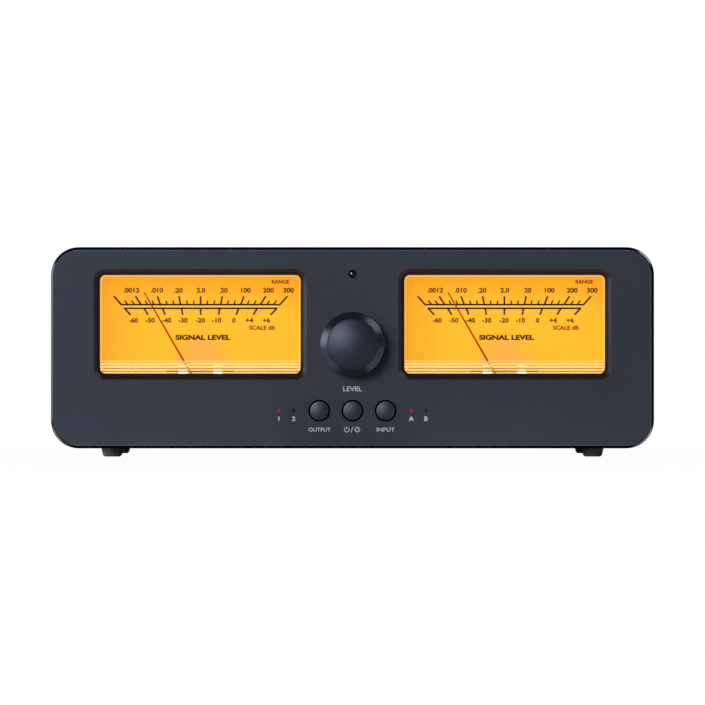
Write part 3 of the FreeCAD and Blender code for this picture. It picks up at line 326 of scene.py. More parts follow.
def window_glow(finish, skin):
    """The dials' warm light on the bevels of their windows, most of all at the top."""
    x, y, z = finish.axes((0, 0, WINDOW_RISE))
    beyond = finish.outside(abs(x) - DIAL_SPREAD, z, HALF_WIDE, HALF_TALL, COVER_CORNER)
    sunk = finish.spread(y, PANEL_FACE, PANEL_FACE + 0.15 * MM)
    near_cover = finish.spread(beyond, 0.8 * MM, 2.6 * MM, 1.0, 0.2) * sunk * (beyond < 3.2 * MM)
    upper = finish.spread(z, HALF_TALL - 1 * MM, HALF_TALL + 1 * MM, 0.4, 1.0)
    reach = finish.spread(z, HALF_TALL - 1 * MM, HALF_TALL + 1 * MM, 1.5 * MM, 2.7 * MM)
    # Painted light: a warm tint of the dials' light on the bevels
    painted_warm_tint = finish.spread(beyond, 0.6 * MM, reach, 0.8, 0.0) * sunk
    finish.set("Base Color", finish.mix(painted_warm_tint, skin, (0.026, 0.009, 0.005)))
    # A painted glow of the dials' light, though the bevels are no lamp
    glow = finish.mix(near_cover * upper, (0, 0, 0), (0.026, 0.0055, 0.0008))
    finish.set("Emission Color", glow)
    finish.set("Emission Strength", 1.0)


def turned_skin(name, colour, rough, middle, face, pitch=0.16 * MM):
    """Metal turned on a lathe about an axis along Y, with fine rings that fade at the middle, and
    a smoother bevel round its face, from the face's radius outwards."""
    finish = Finish(name, colour, metal=0.85)
    x, y, z = finish.axes(middle)
    radius = (x * x + z * z) ** 0.5
    wander = finish.noise(4 * MM, 2.0) * (0.06 * MM)
    rings = finish.maths("SINE", (radius + abs(y) * 0.7 + wander) * (2 * math.pi / pitch))
    rings = rings * finish.spread(radius, 1.0 * MM, 3.0 * MM)
    pits = finish.noise(0.1 * MM, 2.0)
    tone = finish.spread(rings * 0.15 + pits, 0.2, 0.9)
    smooth = finish.near(radius, face + 1.3 * MM, 1.25 * MM, 0.05 * MM)
    dull = finish.mix(tone, shade(colour, 0.75), shade(colour, 0.85))
    clean = finish.mix(tone, shade(colour, 0.79), shade(colour, 0.90))
    finish.set("Base Color", finish.mix(smooth, dull, clean))
    finish.set("Roughness", rough - smooth * 0.1 + rings * 0.02 + (pits - 0.5) * 0.1)
    finish.bump(rings * 0.3 + pits, 0.005 * MM, 0.5)
    return finish


def plated(name, colour, rough, scuffs=0.06):
    """Plated or bare metal with fine scratches and cloudy spots."""
    finish = Finish(name, colour, metal=1.0)
    brushing = finish.noise(1.2 * MM, 4.0, stretch=(1.0, 0.08, 1.0))
    spots = finish.spread(finish.noise(4 * MM, 4.0), 0.5, 0.75)
    cloudy = finish.mix(spots * 0.5, colour, shade(colour, 0.78))
    rubbed = finish.edges(0.2 * MM) * finish.spread(finish.noise(1.5 * MM, 3.0), 0.3, 0.6)
    finish.set("Base Color", finish.mix(rubbed * 0.5, cloudy, (0.42, 0.41, 0.39)))
    finish.set("Roughness", rough + (brushing - 0.5) * scuffs * 2 + spots * scuffs)
    finish.bump(brushing, 0.01 * MM, 0.4)
    return finish


# Moulded and other finishes
def moulded(name, colour, rough, grain=0.4 * MM, depth=0.01 * MM, wear=0.0, **plain):
    """Moulded plastic or rubber with a fine spark-eroded skin, greyer along its worn edges."""
    finish = Finish(name, colour, **plain)
    skin = finish.noise(grain, 2.0)
    flow = finish.noise(12 * MM, 3.0)
    tone = finish.mix(flow, shade(colour, 0.85), shade(colour, 1.15))
    if wear:
        rubbed = finish.edges(0.25 * MM) * finish.spread(finish.noise(2 * MM, 3.0), 0.3, 0.6)
        tone = finish.mix(rubbed * wear, tone, (0.20, 0.20, 0.20))
    finish.set("Base Color", tone)
    finish.set("Roughness", rough + (skin - 0.5) * 0.2 + (flow - 0.5) * 0.08)
    finish.bump(skin, depth, 0.7)
    return finish


def laminate(name):
    """A circuit board's green mask over copper tracks, with pads along them."""
    mask, track, pad = (0.008, 0.085, 0.03), (0.02, 0.16, 0.05), (0.72, 0.72, 0.68)
    finish = Finish(name, mask, rough=0.3)
    lanes = finish.cells(6 * MM, feature="DISTANCE_TO_EDGE")
    tracks = finish.spread(lanes, 0.05, 0.08, 1.0, 0.0)
    pads = finish.spread(finish.cells(4.5 * MM), 0.12, 0.16, 1.0, 0.0)
    copper = finish.mix(tracks, mask, track)
    finish.set("Base Color", finish.mix(pads, copper, pad))
    finish.set("Roughness", 0.34 - pads * 0.1 + finish.noise(2 * MM) * 0.08)
    finish.set("Metallic", pads * 0.8)
    finish.bump(tracks * 0.5 + pads, 0.04 * MM)
    return finish


def zinc(name):
    """Zinc-plated sheet with its spangle."""
    finish = Finish(name, (0.55, 0.56, 0.58), metal=1.0)
    spangle = finish.cells(7 * MM, output="Color")
    grey = finish.node("RGBToBW", inputs={0: spangle})
    rolling = finish.noise(1.5 * MM, 3.0, stretch=(1.0, 0.05, 1.0))
    finish.set("Base Color", finish.mix(grey, (0.42, 0.43, 0.45), (0.66, 0.67, 0.7)))
    finish.set("Roughness", 0.28 + grey * 0.16 + rolling * 0.08)
    finish.bump(rolling, 0.01 * MM, 0.4)
    return finish


def wound(name):
    """Enamelled copper wire, turn beside turn, with painted shade in the gaps between them."""
    copper = (0.62, 0.24, 0.08)
    finish = Finish(name, copper, metal=1.0, Coat_Weight=0.6, Coat_Roughness=0.1)
    x, y, z = finish.axes()
    turns_and_gap_shade = finish.maths("SINE", y * (2 * math.pi / (0.12 * MM))) * 0.5 + 0.5
    # Painted shade: a darker base colour in the gaps between turns
    finish.set("Base Color", finish.mix(turns_and_gap_shade, shade(copper, 0.45), copper))
    finish.set("Roughness", 0.38 - turns_and_gap_shade * 0.12)
    finish.bump(turns_and_gap_shade, 0.04 * MM)
    return finish


def ribbon_cable(name):
    """Flat cable of grey insulated conductors with one red edge, and painted shade in the grooves
    between them.
    """
    grey, red = (0.36, 0.36, 0.38), (0.5, 0.03, 0.03)
    finish = Finish(name, grey, rough=0.45)
    x, y, z = finish.axes()
    wires_and_gap_shade = abs(finish.maths("SINE", x * (math.pi / (1.27 * MM))))
    edge = finish.near(x, -9.4 * MM, 0.5 * MM, 0.1 * MM)
    # Painted shade in the grooves between the conductors
    plain = finish.mix(wires_and_gap_shade, shade(grey, 0.5), grey)
    finish.set("Base Color", finish.mix(edge, plain, red))
    finish.set("Roughness", 0.5 - wires_and_gap_shade * 0.12 + finish.noise(3 * MM) * 0.06)
    finish.bump(wires_and_gap_shade, 0.2 * MM)
    return finish


# Meter finishes. A rise here is counted from the middle of a window
DIAL_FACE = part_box("left_dial")[0].y
COVER_LOW, COVER_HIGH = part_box("left_meter_cover")
COVER_LIP = 3.7 * MM
COVER_CORNER = 2.4 * MM
HALF_WIDE = (COVER_HIGH.x - COVER_LOW.x) / 2 - COVER_LIP
HALF_TALL = (COVER_HIGH.z - COVER_LOW.z) / 2 - COVER_LIP
WINDOW_RISE = (COVER_HIGH.z + COVER_LOW.z) / 2
DIAL_SPREAD = abs(COVER_HIGH.x + COVER_LOW.x) / 2
RIB_PITCH = 1.15 * MM
GROOVES = [RIB_PITCH * rib - HALF_TALL for rib in (1, 2, 3, 4)]
RIB_TOP = GROOVES[-1] + 0.7 * MM
BAND_RISE = 7.15 * MM
LAMP_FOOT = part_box("left_lamp_strip")[1].z - 2.1 * MM
LAMP_AWAY, LAMP_HALF, LAMP_BOARD_HALF = 6.9 * MM, 1.8 * MM, 13.2 * MM


def lit_dial(name, centre_x):
    """Translucent dial lit from its foot: gold in the middle, orange at its edges, pale at its foot,
    with a painted pool of the lamps' light low in the middle and a painted highlight round its edge.
    """
    amber, gold = (0.95, 0.34, 0.002), (0.97, 0.50, 0.006)
    pale, salmon = (1.0, 0.72, 0.19), (0.96, 0.37, 0.06)
    finish = Finish(name, (0.08, 0.03, 0.004), Specular_IOR_Level=0.2, Emission_Strength=1.05)
    x, y, z = finish.axes((centre_x, 0, WINDOW_RISE))
    blotch = finish.noise(20 * MM, 3.0) - 0.5
    across = finish.spread(x + blotch * (10 * MM), -50 * MM, -20 * MM)
    height = finish.spread(z + blotch * (6 * MM), 4 * MM, 21 * MM, 1.0, 0.2)
    upper_right = finish.spread(x + z, 36 * MM, 56 * MM, 1.0, 0.35)
    warm = finish.mix(across * height * upper_right, amber, gold)
    # A painted pool of the lamps' light, salmon, low in the middle
    glow = finish.spread(abs(x) + (z + 15.9 * MM) * 0.5, 3 * MM, 17 * MM, 1.0, 0.0)
    low = finish.spread(z, -9.9 * MM, 0.1 * MM, 1.0, 0.0)
    warm = finish.mix(glow * low * 0.8, warm, salmon)
    foot = finish.spread(z, RIB_TOP - 0.1 * MM, RIB_TOP + 0.2 * MM, 1.0, 0.0)
    band = finish.near(z, BAND_RISE, 0.45 * MM, 0.2 * MM) * finish.near(x, 0.0, 30 * MM, 1 * MM)
    # A painted highlight round the dial's edge, where the cover's edges catch light
    beyond = finish.outside(x, z, HALF_WIDE, HALF_TALL, COVER_CORNER)
    rim_highlight = finish.near(beyond, -0.45 * MM, 0.2 * MM, 0.4 * MM)
    share = finish.maths("MAXIMUM", foot * 0.85, band * 0.4)
    share = finish.maths("MAXIMUM", share, rim_highlight * 0.4)
    finish.set("Emission Color", finish.mix(share, warm, pale))
    fibre = finish.noise(0.3 * MM, 3.0)
    finish.set("Roughness", 0.55 + fibre * 0.12)
    finish.bump(fibre, 0.01 * MM, 0.5)
    return finish


def clear_cover(name):
    """Clear acrylic with frosted ribs at its foot, painted shade in two of its grooves and a
    black-painted lip. Lamps shine through it.
    """
    clear, groove_shade, painted = (1.0, 0.985, 0.96), (0.86, 0.58, 0.38), (0.004, 0.002, 0.001)
    finish = Finish(name, clear, IOR=1.49, Transmission_Weight=1.0)
    x, y, z = finish.axes((0, 0, WINDOW_RISE))
    grooves = [finish.near(z, rise, 0.14 * MM, 0.22 * MM) for rise in GROOVES]
    lowest, second = grooves[:2]
    groove = lowest
    for higher in grooves[1:]:
        groove = finish.maths("MAXIMUM", groove, higher)
    ribs = finish.spread(z, RIB_TOP - 0.1 * MM, RIB_TOP + 0.1 * MM, 1.0, 0.0)
    across = abs(x) - DIAL_SPREAD
    beyond = finish.outside(across, z, HALF_WIDE, HALF_TALL, COVER_CORNER)
    lip = finish.spread(beyond, -0.25 * MM, -0.21 * MM)
    # Painted shade: the second groove tinted dark and warm, the lowest one brown in front of the lamp
    # board
    board = lowest * finish.near(across, 0.0, LAMP_BOARD_HALF, 0.3 * MM)
    shown = finish.mix(groove, clear, finish.mix(second * 0.5, groove_shade, clear))
    shown = finish.mix(board, shown, (0.36, 0.17, 0.08))
    finish.set("Base Color", finish.mix(lip, shown, painted))
    frost = ribs * (1 - lowest) * 0.24 + lip * 0.6
    finish.set("Roughness", 0.02 + frost + finish.noise(10 * MM, 4.0) * 0.02)
    open_way = finish.tree.nodes.new("ShaderNodeBsdfTransparent")
    finish.blend(*finish.rays("Shadow"), finish.shader, open_way)
    return finish


def lamp_strip(name):
    """White-hot lamps on a brown board whose top has a painted amber glow."""
    brown = (0.09, 0.022, 0.004)
    finish = Finish(name, brown, rough=0.45, Emission_Strength=1.1)
    x, y, z = finish.axes()
    offset = abs(abs(x) - DIAL_SPREAD)
    upright = (z > LAMP_FOOT) * (z < LAMP_FOOT + 2.2 * MM)
    lamp = finish.near(offset, LAMP_AWAY, LAMP_HALF, 0.1 * MM) * upright
    top = z > LAMP_FOOT + 1.5 * MM
    finish.set("Base Color", finish.mix(lamp, brown, (0.9, 0.85, 0.7)))
    # Painted glow: the board's top glows amber, though it is no lamp
    board = finish.mix(top, (0.02, 0.005, 0.0), (0.86, 0.50, 0.09))
    finish.set("Emission Color", finish.mix(lamp, board, (1.0, 0.94, 0.8)))
    finish.set("Roughness", 0.45 - lamp * 0.15 + finish.noise(2 * MM) * 0.1)
    return finish


PIPE_RADIUS = 0.75 * MM
# How far the axis of each unlit light pipe stands from the middle
UNLIT_AWAY = [abs(corner.x) - PIPE_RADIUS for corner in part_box("unlit_indicators")]


def lit_pipe(name, colour, glow):
    """End of a lit light pipe, its glow a little uneven."""
    finish = Finish(name, colour, rough=0.25, Specular_IOR_Level=0.2, Emission_Strength=glow)
    haze = finish.noise(0.4 * MM, 2.0)
    finish.set("Emission Color", finish.mix(haze, shade(colour, 0.8), shade(colour, 1.1)))
    finish.set("Roughness", 0.2 + haze * 0.15)
    finish.bump(haze, 0.01 * MM, 0.4)
    return finish


def dark_pipe(name, frosted, dark):
    """End of an unlit light pipe, frosted but for a dark middle, which is painted shade."""
    finish = Finish(name, dark, Specular_IOR_Level=0.1)
    x, y, z = finish.axes((0, 0, middle_of("unlit_indicators").z))
    reach = [finish.near(abs(x), away, 0.3 * MM, 0.2 * MM) for away in UNLIT_AWAY]
    # Painted shade at the middle of each unlit pipe
    core_shade = (reach[0] + reach[1]) * finish.near(z, 0.0, 0.5 * MM, 0.2 * MM)
    haze = finish.noise(0.3 * MM, 2.0)
    finish.set("Base Color", finish.mix(core_shade, shade(frosted, 0.9), dark))
    finish.set("Roughness", 0.4 + haze * 0.15)
    finish.bump(haze, 0.01 * MM, 0.4)
    return finish


def remote_lens(name):
    """Dark window for the remote control, satin but for the polished lens at its middle."""
    dark, deep = (0.0015, 0.0015, 0.002), (0.0008, 0.0008, 0.001)
    finish = Finish(name, dark, Specular_IOR_Level=0.12, Coat_Roughness=0.02, Coat_IOR=1.75)
    x, y, z = finish.axes(middle_of("remote_window"))
    lens = finish.near((x * x + z * z) ** 0.5, 0.0, 0.65 * MM, 0.3 * MM)
    haze = finish.noise(0.4 * MM, 2.0)
    finish.set("Base Color", finish.mix(haze, deep, dark))
    finish.set("Roughness", 0.25 - lens * 0.2 + haze * 0.05)
    finish.set("Coat Weight", lens)
    finish.bump(haze, 0.001 * MM, 0.4)
    return finish


def print_ink(name, colour, glow=0.0):
    """Screen-printed ink, a little uneven. A glow is the dial's light coming through it."""
    finish = Finish(name, colour, Specular_IOR_Level=0.1, Emission_Strength=glow)
    grain = finish.noise(0.25 * MM, 3.0)
    finish.set("Base Color", finish.mix(grain, shade(colour, 0.82), shade(colour, 1.1)))
    finish.set("Roughness", 0.45 + grain * 0.2)
    if glow:
        finish.set("Emission Color", finish.mix(grain, shade(colour, 0.9), colour))
    finish.bump(grain, 0.004 * MM, 0.6)
    return finish


# Every node of the CAD model gets its finish by the record's slot
PANEL = (0.0338, 0.0402, 0.0540)

FINISHES = {
    # The panel's finish with its painted light and shade round the edges; the colour given is the
    # painted highlight line's
    "panel_anodised": painted_outline_light(
        anodised("panel_anodised", PANEL, 0.46), (0.08, 0.085, 0.1)
    ),
    "case_anodised": anodised(
        "case_anodised", shade(PANEL, 0.9), 0.45, 0.2 * MM, metal=0.7, worn=(0.10, 0.105, 0.12)
    ),
    "foot_rubber": moulded("foot_rubber", (0.24, 0.242, 0.248), 0.42, 0.3 * MM),
    "screw_steel": plated("screw_steel", (0.06, 0.06, 0.065), 0.35),
    "tray_steel": zinc("tray_steel"),
    "standoff_brass": plated("standoff_brass", (0.75, 0.58, 0.28), 0.3),
    "board": laminate("board"),
    "relay_plastic": moulded("relay_plastic", (0.02, 0.02, 0.025), 0.3, wear=0.3),
    "can_aluminium": plated("can_aluminium", (0.05, 0.06, 0.12), 0.3),
    "ribbon": ribbon_cable("ribbon"),
    "switch_plastic": moulded("switch_plastic", (0.02, 0.02, 0.02), 0.5),
    "control_metal": plated("control_metal", (0.5, 0.5, 0.52), 0.3),
    "nut_plated": plated("nut_plated", (0.6, 0.58, 0.52), 0.28),
    "knob_anodised": turned_skin(
        "knob_anodised", (0.047, 0.055, 0.073), 0.39, middle_of("knob"), KNOB_FACE
    ),
    "button_anodised": button_cap("button_anodised", (0.043, 0.049, 0.061), 0.42),
    "clear_cover": clear_cover("clear_cover"),
    "meter_black": moulded("meter_black", (0.015, 0.015, 0.015), 0.6, wear=0.2),
    "iron": plated("iron", (0.3, 0.3, 0.32), 0.4),
    "copper_coil": wound("copper_coil"),
    "needle_red": moulded("needle_red", (0.36, 0.002, 0.0), 0.5, 0.1 * MM, Specular_IOR_Level=0.05),
    "lamp_board": lamp_strip("lamp_board"),
    "lit_red": lit_pipe("lit_red", (0.29, 0.005, 0.035), 0.5),
    "unlit_pipe": dark_pipe("unlit_pipe", shade(PANEL, 1.7), (0.002, 0.002, 0.004)),
    "remote_dark": remote_lens("remote_dark"),
    "gold_post": plated("gold_post", (0.86, 0.6, 0.24), 0.18, 0.04),
    "base_black": moulded("base_black", (0.012, 0.012, 0.013), 0.42, wear=0.3),
    "socket_black": moulded("socket_black", (0.012, 0.012, 0.013), 0.4, wear=0.3),
    "cap_red": moulded("cap_red", (0.42, 0.006, 0.008), 0.22, 0.6 * MM, wear=0.25, Coat_Weight=0.3),
    "cap_black": moulded("cap_black", (0.010, 0.010, 0.011), 0.22, 0.6 * MM, wear=0.25, Coat_Weight=0.3),
}
DIALS = {
    f"{side}_dial": lit_dial(f"{side}_dial_amber", sign * DIAL_SPREAD)
    for side, sign in SIDES.items()
}

for part in frame["record"]["subparts"]:
    node, slot = part["node"], part["material_slot"]
    finish = DIALS.get(node) or FINISHES[slot]
    frame["nodes"][node].material_slots[0].material = finish.material


# Printing
def clear_selection():
    for thing in bpy.context.selected_objects:
        thing.select_set(False)


def settle(thing, name, finish, body="housing"):
    """Names a finished piece, gives it its finish and makes it ride on its body."""
    thing.name = name
    thing.data.name = name
    thing.data.materials.clear()
    thing.data.materials.append(finish.material)
    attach(thing, body)
    return thing


def join(things):
    clear_selection()
    for thing in things:
        thing.select_set(True)
    bpy.context.view_layer.objects.active = things[0]
    bpy.ops.object.join()
    return bpy.context.object


def apply_place(thing):
    clear_selection()
    thing.select_set(True)
    bpy.context.view_layer.objects.active = thing
    bpy.ops.object.transform_apply(location=True, rotation=True, scale=True)
    return thing


PRINT_THICK = 0.04 * MM
PRINT_SUNK = 0.01 * MM
LETTER_BREADTH = 1.12


def bar(start, end, wide):
    """A flat printed line between two points (x, z) of a plane that faces -Y."""
    run = Vector((end[0] - start[0], end[1] - start[1]))
    bpy.ops.mesh.primitive_cube_add(size=1.0)
    line = bpy.context.object
    line.scale = (run.length, PRINT_THICK, wide)
    line.rotation_euler = (0, -math.atan2(run.y, run.x), 0)
    line.location = ((start[0] + end[0]) / 2, PRINT_SUNK - PRINT_THICK / 2, (start[1] + end[1]) / 2)
    return apply_place(line)


def word(text, place, high, wide=None, bold=0.0):
    """Printed letters of a height and width, centred at a point (x, z) of a plane facing -Y."""
    bpy.ops.object.text_add()
    letters = bpy.context.object
    letters.data.body = text
    letters.data.offset = bold
    letters.data.resolution_u = 4
    letters.data.extrude = PRINT_THICK / 2
    bpy.ops.object.convert(target="MESH")
    letters = bpy.context.object
    lowest, highest = Vector(letters.bound_box[0]), Vector(letters.bound_box[6])
    size, middle = highest - lowest, (lowest + highest) / 2
    tall = high / size.y
    stretch = wide / size.x if wide else tall * LETTER_BREADTH
    letters.data.transform(Matrix.Translation(-middle))
    letters.data.transform(Matrix.Diagonal((stretch, tall, 1.0, 1.0)))
    letters.rotation_euler = (math.pi / 2, 0, 0)
    letters.location = (place[0], PRINT_SUNK - PRINT_THICK / 2, place[1])
    return apply_place(letters)


def arc(centre, radius, wide, start, end, steps=20):
    """A printed arc of a ring, from one angle to another in degrees, 90 at its top."""
    points = []
    for step in range(steps + 1):
        angle = math.radians(start + (end - start) * step / steps)
        points.append((centre[0] + radius * math.cos(angle), centre[1] + radius * math.sin(angle)))
    return [bar(first, second, wide) for first, second in zip(points, points[1:])]


# One picture element of the photograph is 0.4 mm on the dial. Rises count from a window's middle
STEP = 0.4 * MM
UPPER_LINE, LOWER_LINE = 7.87 * MM, 6.43 * MM
UPPER_TOP, MINOR_TOP, LOWER_FOOT = 11.23 * MM, 9.51 * MM, 3.79 * MM
UPPER_END, LOWER_END = 79.6 * STEP, 76.6 * STEP
LINE_WIDE, MINOR_WIDE = 0.68 * MM, 0.55 * MM
UPPER_NUMBER_RISE, LOWER_NUMBER_RISE = 13.59 * MM, 1.63 * MM
DIAL_BOLD = 0.036
UPPER_FEET = (-79, -59.5, -40, -20, 0, 20, 40, 59.5, 79)
UPPER_TOPS = (-86.5, -65, -43.2, -21.7, 0, 21.7, 43.2, 65, 86.5)
LOWER_HEADS = (-76, -56.5, -38, -19, 0, 19, 38, 56.5, 76)
LOWER_FEET = (-70, -52.5, -35.5, -18, 0, 18, 35.5, 52.5, 70)
UPPER_NUMBERS = (
    (".0012", -69), (".010", -43.6), (".20", -22.2), ("2.0", 0.4),
    ("20", 23.4), ("100", 45.2), ("200", 67.7), ("300", 87.7),
)
LOWER_NUMBERS = (
    ("-60", -67), ("-50", -50.4), ("-40", -33.9), ("-30", -17.6), ("-20", -0.3),
    ("-10", 16), ("0", 33.1), ("+4", 48.7), ("+6", 65.6),
)


def dial_scale():
    """Two printed lines with slanted ticks above one and below the other."""
    lines = [
        bar((-UPPER_END, UPPER_LINE), (UPPER_END, UPPER_LINE), LINE_WIDE),
        bar((-LOWER_END, LOWER_LINE), (LOWER_END, LOWER_LINE), LINE_WIDE),
    ]
    for foot, top in zip(UPPER_FEET, UPPER_TOPS):
        lines.append(bar((foot * STEP, UPPER_LINE), (top * STEP, UPPER_TOP), LINE_WIDE))
    for left, right, left_top, right_top in zip(
        UPPER_FEET, UPPER_FEET[1:], UPPER_TOPS, UPPER_TOPS[1:]
    ):
        for third in (1 / 3, 2 / 3):
            foot = left + (right - left) * third
            lean = (left_top - left) + ((right_top - right) - (left_top - left)) * third
            top = foot + lean * (MINOR_TOP - UPPER_LINE) / (UPPER_TOP - UPPER_LINE)
            lines.append(bar((foot * STEP, UPPER_LINE), (top * STEP, MINOR_TOP), MINOR_WIDE))
    for head, foot in zip(LOWER_HEADS, LOWER_FEET):
        lines.append(bar((head * STEP, LOWER_LINE), (foot * STEP, LOWER_FOOT), LINE_WIDE))
    return join(lines)


def dial_numbers():
    words = [
        word(text, (place * STEP, UPPER_NUMBER_RISE), 2.0 * MM, bold=DIAL_BOLD)
        for text, place in UPPER_NUMBERS
    ]
    words += [
        word(text, (place * STEP, LOWER_NUMBER_RISE), 1.95 * MM, bold=DIAL_BOLD)
        for text, place in LOWER_NUMBERS
    ]
    return join(words)


def dial_units():
    return join([
        word("RANGE", (79.7 * STEP, 16.99 * MM), 1.6 * MM, 7.0 * MM, bold=DIAL_BOLD),
        word("SCALE dB", (61.2 * STEP, -1.33 * MM), 1.7 * MM, 10.3 * MM, bold=DIAL_BOLD),
    ])


def dial_title():
    return word("SIGNAL LEVEL", (2.3 * STEP, -5.21 * MM), 2.1 * MM, 22.0 * MM, bold=0.05)


INKS = {
    "scale": print_ink("dial_scale_ink", (0.022, 0.001, 0.0), 0.2),
    "numbers": print_ink("dial_number_ink", (0.075, 0.003, 0.0), 0.4),
    "units": print_ink("dial_unit_ink", (0.20, 0.004, 0.0), 0.5),
    "title": print_ink("dial_title_ink", (0.045, 0.002, 0.0), 0.4),
}
DRAWN = {
    "scale": dial_scale(),
    "numbers": dial_numbers(),
    "units": dial_units(),
    "title": dial_title(),
}
for kind, pattern in DRAWN.items():
    for side, sign in SIDES.items():
        printed = pattern.copy()
        printed.data = pattern.data.copy()
        bpy.context.collection.objects.link(printed)
        printed.data.transform(Matrix.Translation((sign * DIAL_SPREAD, DIAL_FACE, WINDOW_RISE)))
        settle(printed, f"{side}_dial_{kind}", INKS[kind])
    bpy.data.objects.remove(pattern)

# Printing on the panel
WHITE_INK = print_ink("panel_ink", (0.66, 0.69, 0.73))
WORD_RISE = BUTTON_RISE - 7.5 * MM
MARK_RISE = BUTTON_RISE - 3.15 * MM
LEVEL_RISE = middle_of("knob").z - 17.7 * MM


def on_panel(pattern, name):
    pattern.data.transform(Matrix.Translation((0, PANEL_FACE, 0)))
    settle(pattern, name, WHITE_INK)


def panel_word(text, across, rise, high, wide=None, name=None, bold=0.012):
    on_panel(word(text, (across, rise), high, wide, bold), name or f"{text.lower()}_word")


panel_word("LEVEL", 0, LEVEL_RISE, 1.9 * MM, 7.4 * MM)
panel_word("OUTPUT", -13.1 * MM, WORD_RISE, 1.6 * MM, 8.8 * MM)
panel_word("INPUT", 13.2 * MM, WORD_RISE, 1.6 * MM, 7.2 * MM)
for text, across in (("1", -29.3), ("2", -23.4), ("A", 23.4), ("B", 29.3)):
    panel_word(text, across * MM, MARK_RISE, 1.85 * MM, name=f"indicator_mark_{text}", bold=0.04)


def power_signs():
    """A power sign, a stroke and a sun, side by side."""
    rise, fine = WORD_RISE, 0.3 * MM
    power, sun = (-2.3 * MM, rise), (1.85 * MM, rise)
    lines = arc(power, 0.95 * MM, fine, 125, 415)
    lines.append(bar((power[0], rise + 0.1 * MM), (power[0], rise + 1.15 * MM), fine))
    lines.append(bar((-0.55 * MM, rise - 1.0 * MM), (0.15 * MM, rise + 1.0 * MM), fine))
    lines += arc(sun, 0.72 * MM, fine, 0, 360)
    for ray in range(8):
        angle = math.radians(45 * ray)
        reach = Vector((math.cos(angle), math.sin(angle)))
        near_end, far_end = Vector(sun) + reach * 0.95 * MM, Vector(sun) + reach * 1.3 * MM
        lines.append(bar(near_end, far_end, 0.26 * MM))
    return join(lines)


on_panel(power_signs(), "power_signs")


# Finely turned pieces: the knob, and the terminals' and rear panel's fittings. Their rings are in
# millimetres, and a ring that closes a piece has this radius in place of none
POLE = 0.001


def turned_piece(rings, sides, form=None):
    """A shape about the Y axis through rings of (radius, depth) in millimetres. A third number is
    the share of the form that a ring takes, and a form gives a part of the radius for an angle."""
    clear_selection()
    radius, depth = rings[0][:2]
    bpy.ops.mesh.primitive_circle_add(
        vertices=sides, radius=radius * MM, location=(0, depth * MM, 0), rotation=(math.pi / 2, 0, 0)
    )
    piece = apply_place(bpy.context.object)
    bpy.ops.object.mode_set(mode="EDIT")
    bpy.ops.mesh.select_all(action="SELECT")
    hollow = radius > POLE
    for ring in rings[1:] + rings[:1] * hollow:
        step, share = (ring[1] - depth) * MM, ring[0] / radius
        bpy.ops.mesh.extrude_region_move(TRANSFORM_OT_translate={"value": (0, step, 0)})
        bpy.ops.transform.resize(value=(share, 1, share), center_override=(0, ring[1] * MM, 0))
        radius, depth = ring[:2]
    bpy.ops.mesh.select_all(action="SELECT")
    bpy.ops.mesh.remove_doubles(threshold=2.5 * POLE * MM)
    bpy.ops.mesh.normals_make_consistent(inside=False)
    for radius, depth, share in [ring for ring in rings if len(ring) == 3]:
        shape_ring(piece.data, radius * MM, depth * MM, share, form)
    bpy.ops.object.mode_set(mode="OBJECT")
    bpy.ops.object.shade_smooth_by_angle(angle=math.radians(35))
    return piece


def shape_ring(mesh, radius, depth, share, form):
    """Draws the points of one ring in or out, all those of one size at a time."""
    bpy.ops.object.mode_set(mode="OBJECT")
    sizes = {}
    for point in mesh.vertices:
        across = math.hypot(point.co.x, point.co.z)
        if abs(point.co.y - depth) < POLE * MM and abs(across - radius) < POLE * MM:
            size = 1 - share * (1 - form(math.degrees(math.atan2(point.co.z, point.co.x))))
            sizes.setdefault(round(size, 4), []).append(point.index)
    for size, members in sizes.items():
        bpy.ops.object.mode_set(mode="EDIT")
        bpy.ops.mesh.select_all(action="DESELECT")
        bpy.ops.object.mode_set(mode="OBJECT")
        for index in members:
            mesh.vertices[index].select = True
        bpy.ops.object.mode_set(mode="EDIT")
        bpy.ops.transform.resize(value=(size, 1, size), center_override=(0, depth, 0))
    if not sizes:
        bpy.ops.object.mode_set(mode="EDIT")


def copy_to(pattern, place):
    """A copy with a mesh of its own, moved to a place."""
    piece = pattern.copy()
    piece.data = pattern.data.copy()
    bpy.context.collection.objects.link(piece)
    piece.data.transform(Matrix.Translation(place))
    return piece


def ridged(angle):
    """Eight rounded ridges round a grip."""
    return 1 - 0.062 * (1 - math.cos(math.radians(8 * angle)))


def six_sided(angle):
    return math.cos(math.radians(30)) / math.cos(math.radians(angle % 60 - 30))


CAP_RINGS = [
    (3.05, 0.0), (5.9, 0.0), (6.3, 0.4), (6.3, 1.8), (5.6, 2.1), (5.6, 2.8), (6.2, 3.0, 1.0),
    (6.5, 3.4, 1.0), (6.5, 12.3, 1.0), (6.3, 13.3, 0.9), (5.8, 14.2, 0.6), (5.1, 14.8),
    (4.3, 15.0), (3.5, 15.0), (3.05, 14.5),
]
SCREW_RINGS = [
    (POLE, -9.0), (1.3, -9.0), (1.5, -8.7), (1.5, 0.0), (2.7, 0.0), (2.8, 0.1), (2.8, 0.9),
    (2.6, 1.4), (2.2, 1.8), (1.7, 2.0), (1.42, 2.0, 1.0), (1.33, 1.9, 1.0), (1.33, 1.0, 1.0),
    (POLE, 0.8),
]

# The knob's sizes, in millimetres
knob_low, knob_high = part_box("knob")
KNOB_LONG = (knob_high.y - knob_low.y) / MM
KNOB_RADIUS = 12.75
SHAFT_BORE, BORE_DEEP = 3.05, 11.2
RECESS_RADIUS, RECESS_DEEP = 9.0, 4.2
KNOB_DOME, DOME_ROUND, DOME_RINGS = 1.3, 39.9, 24


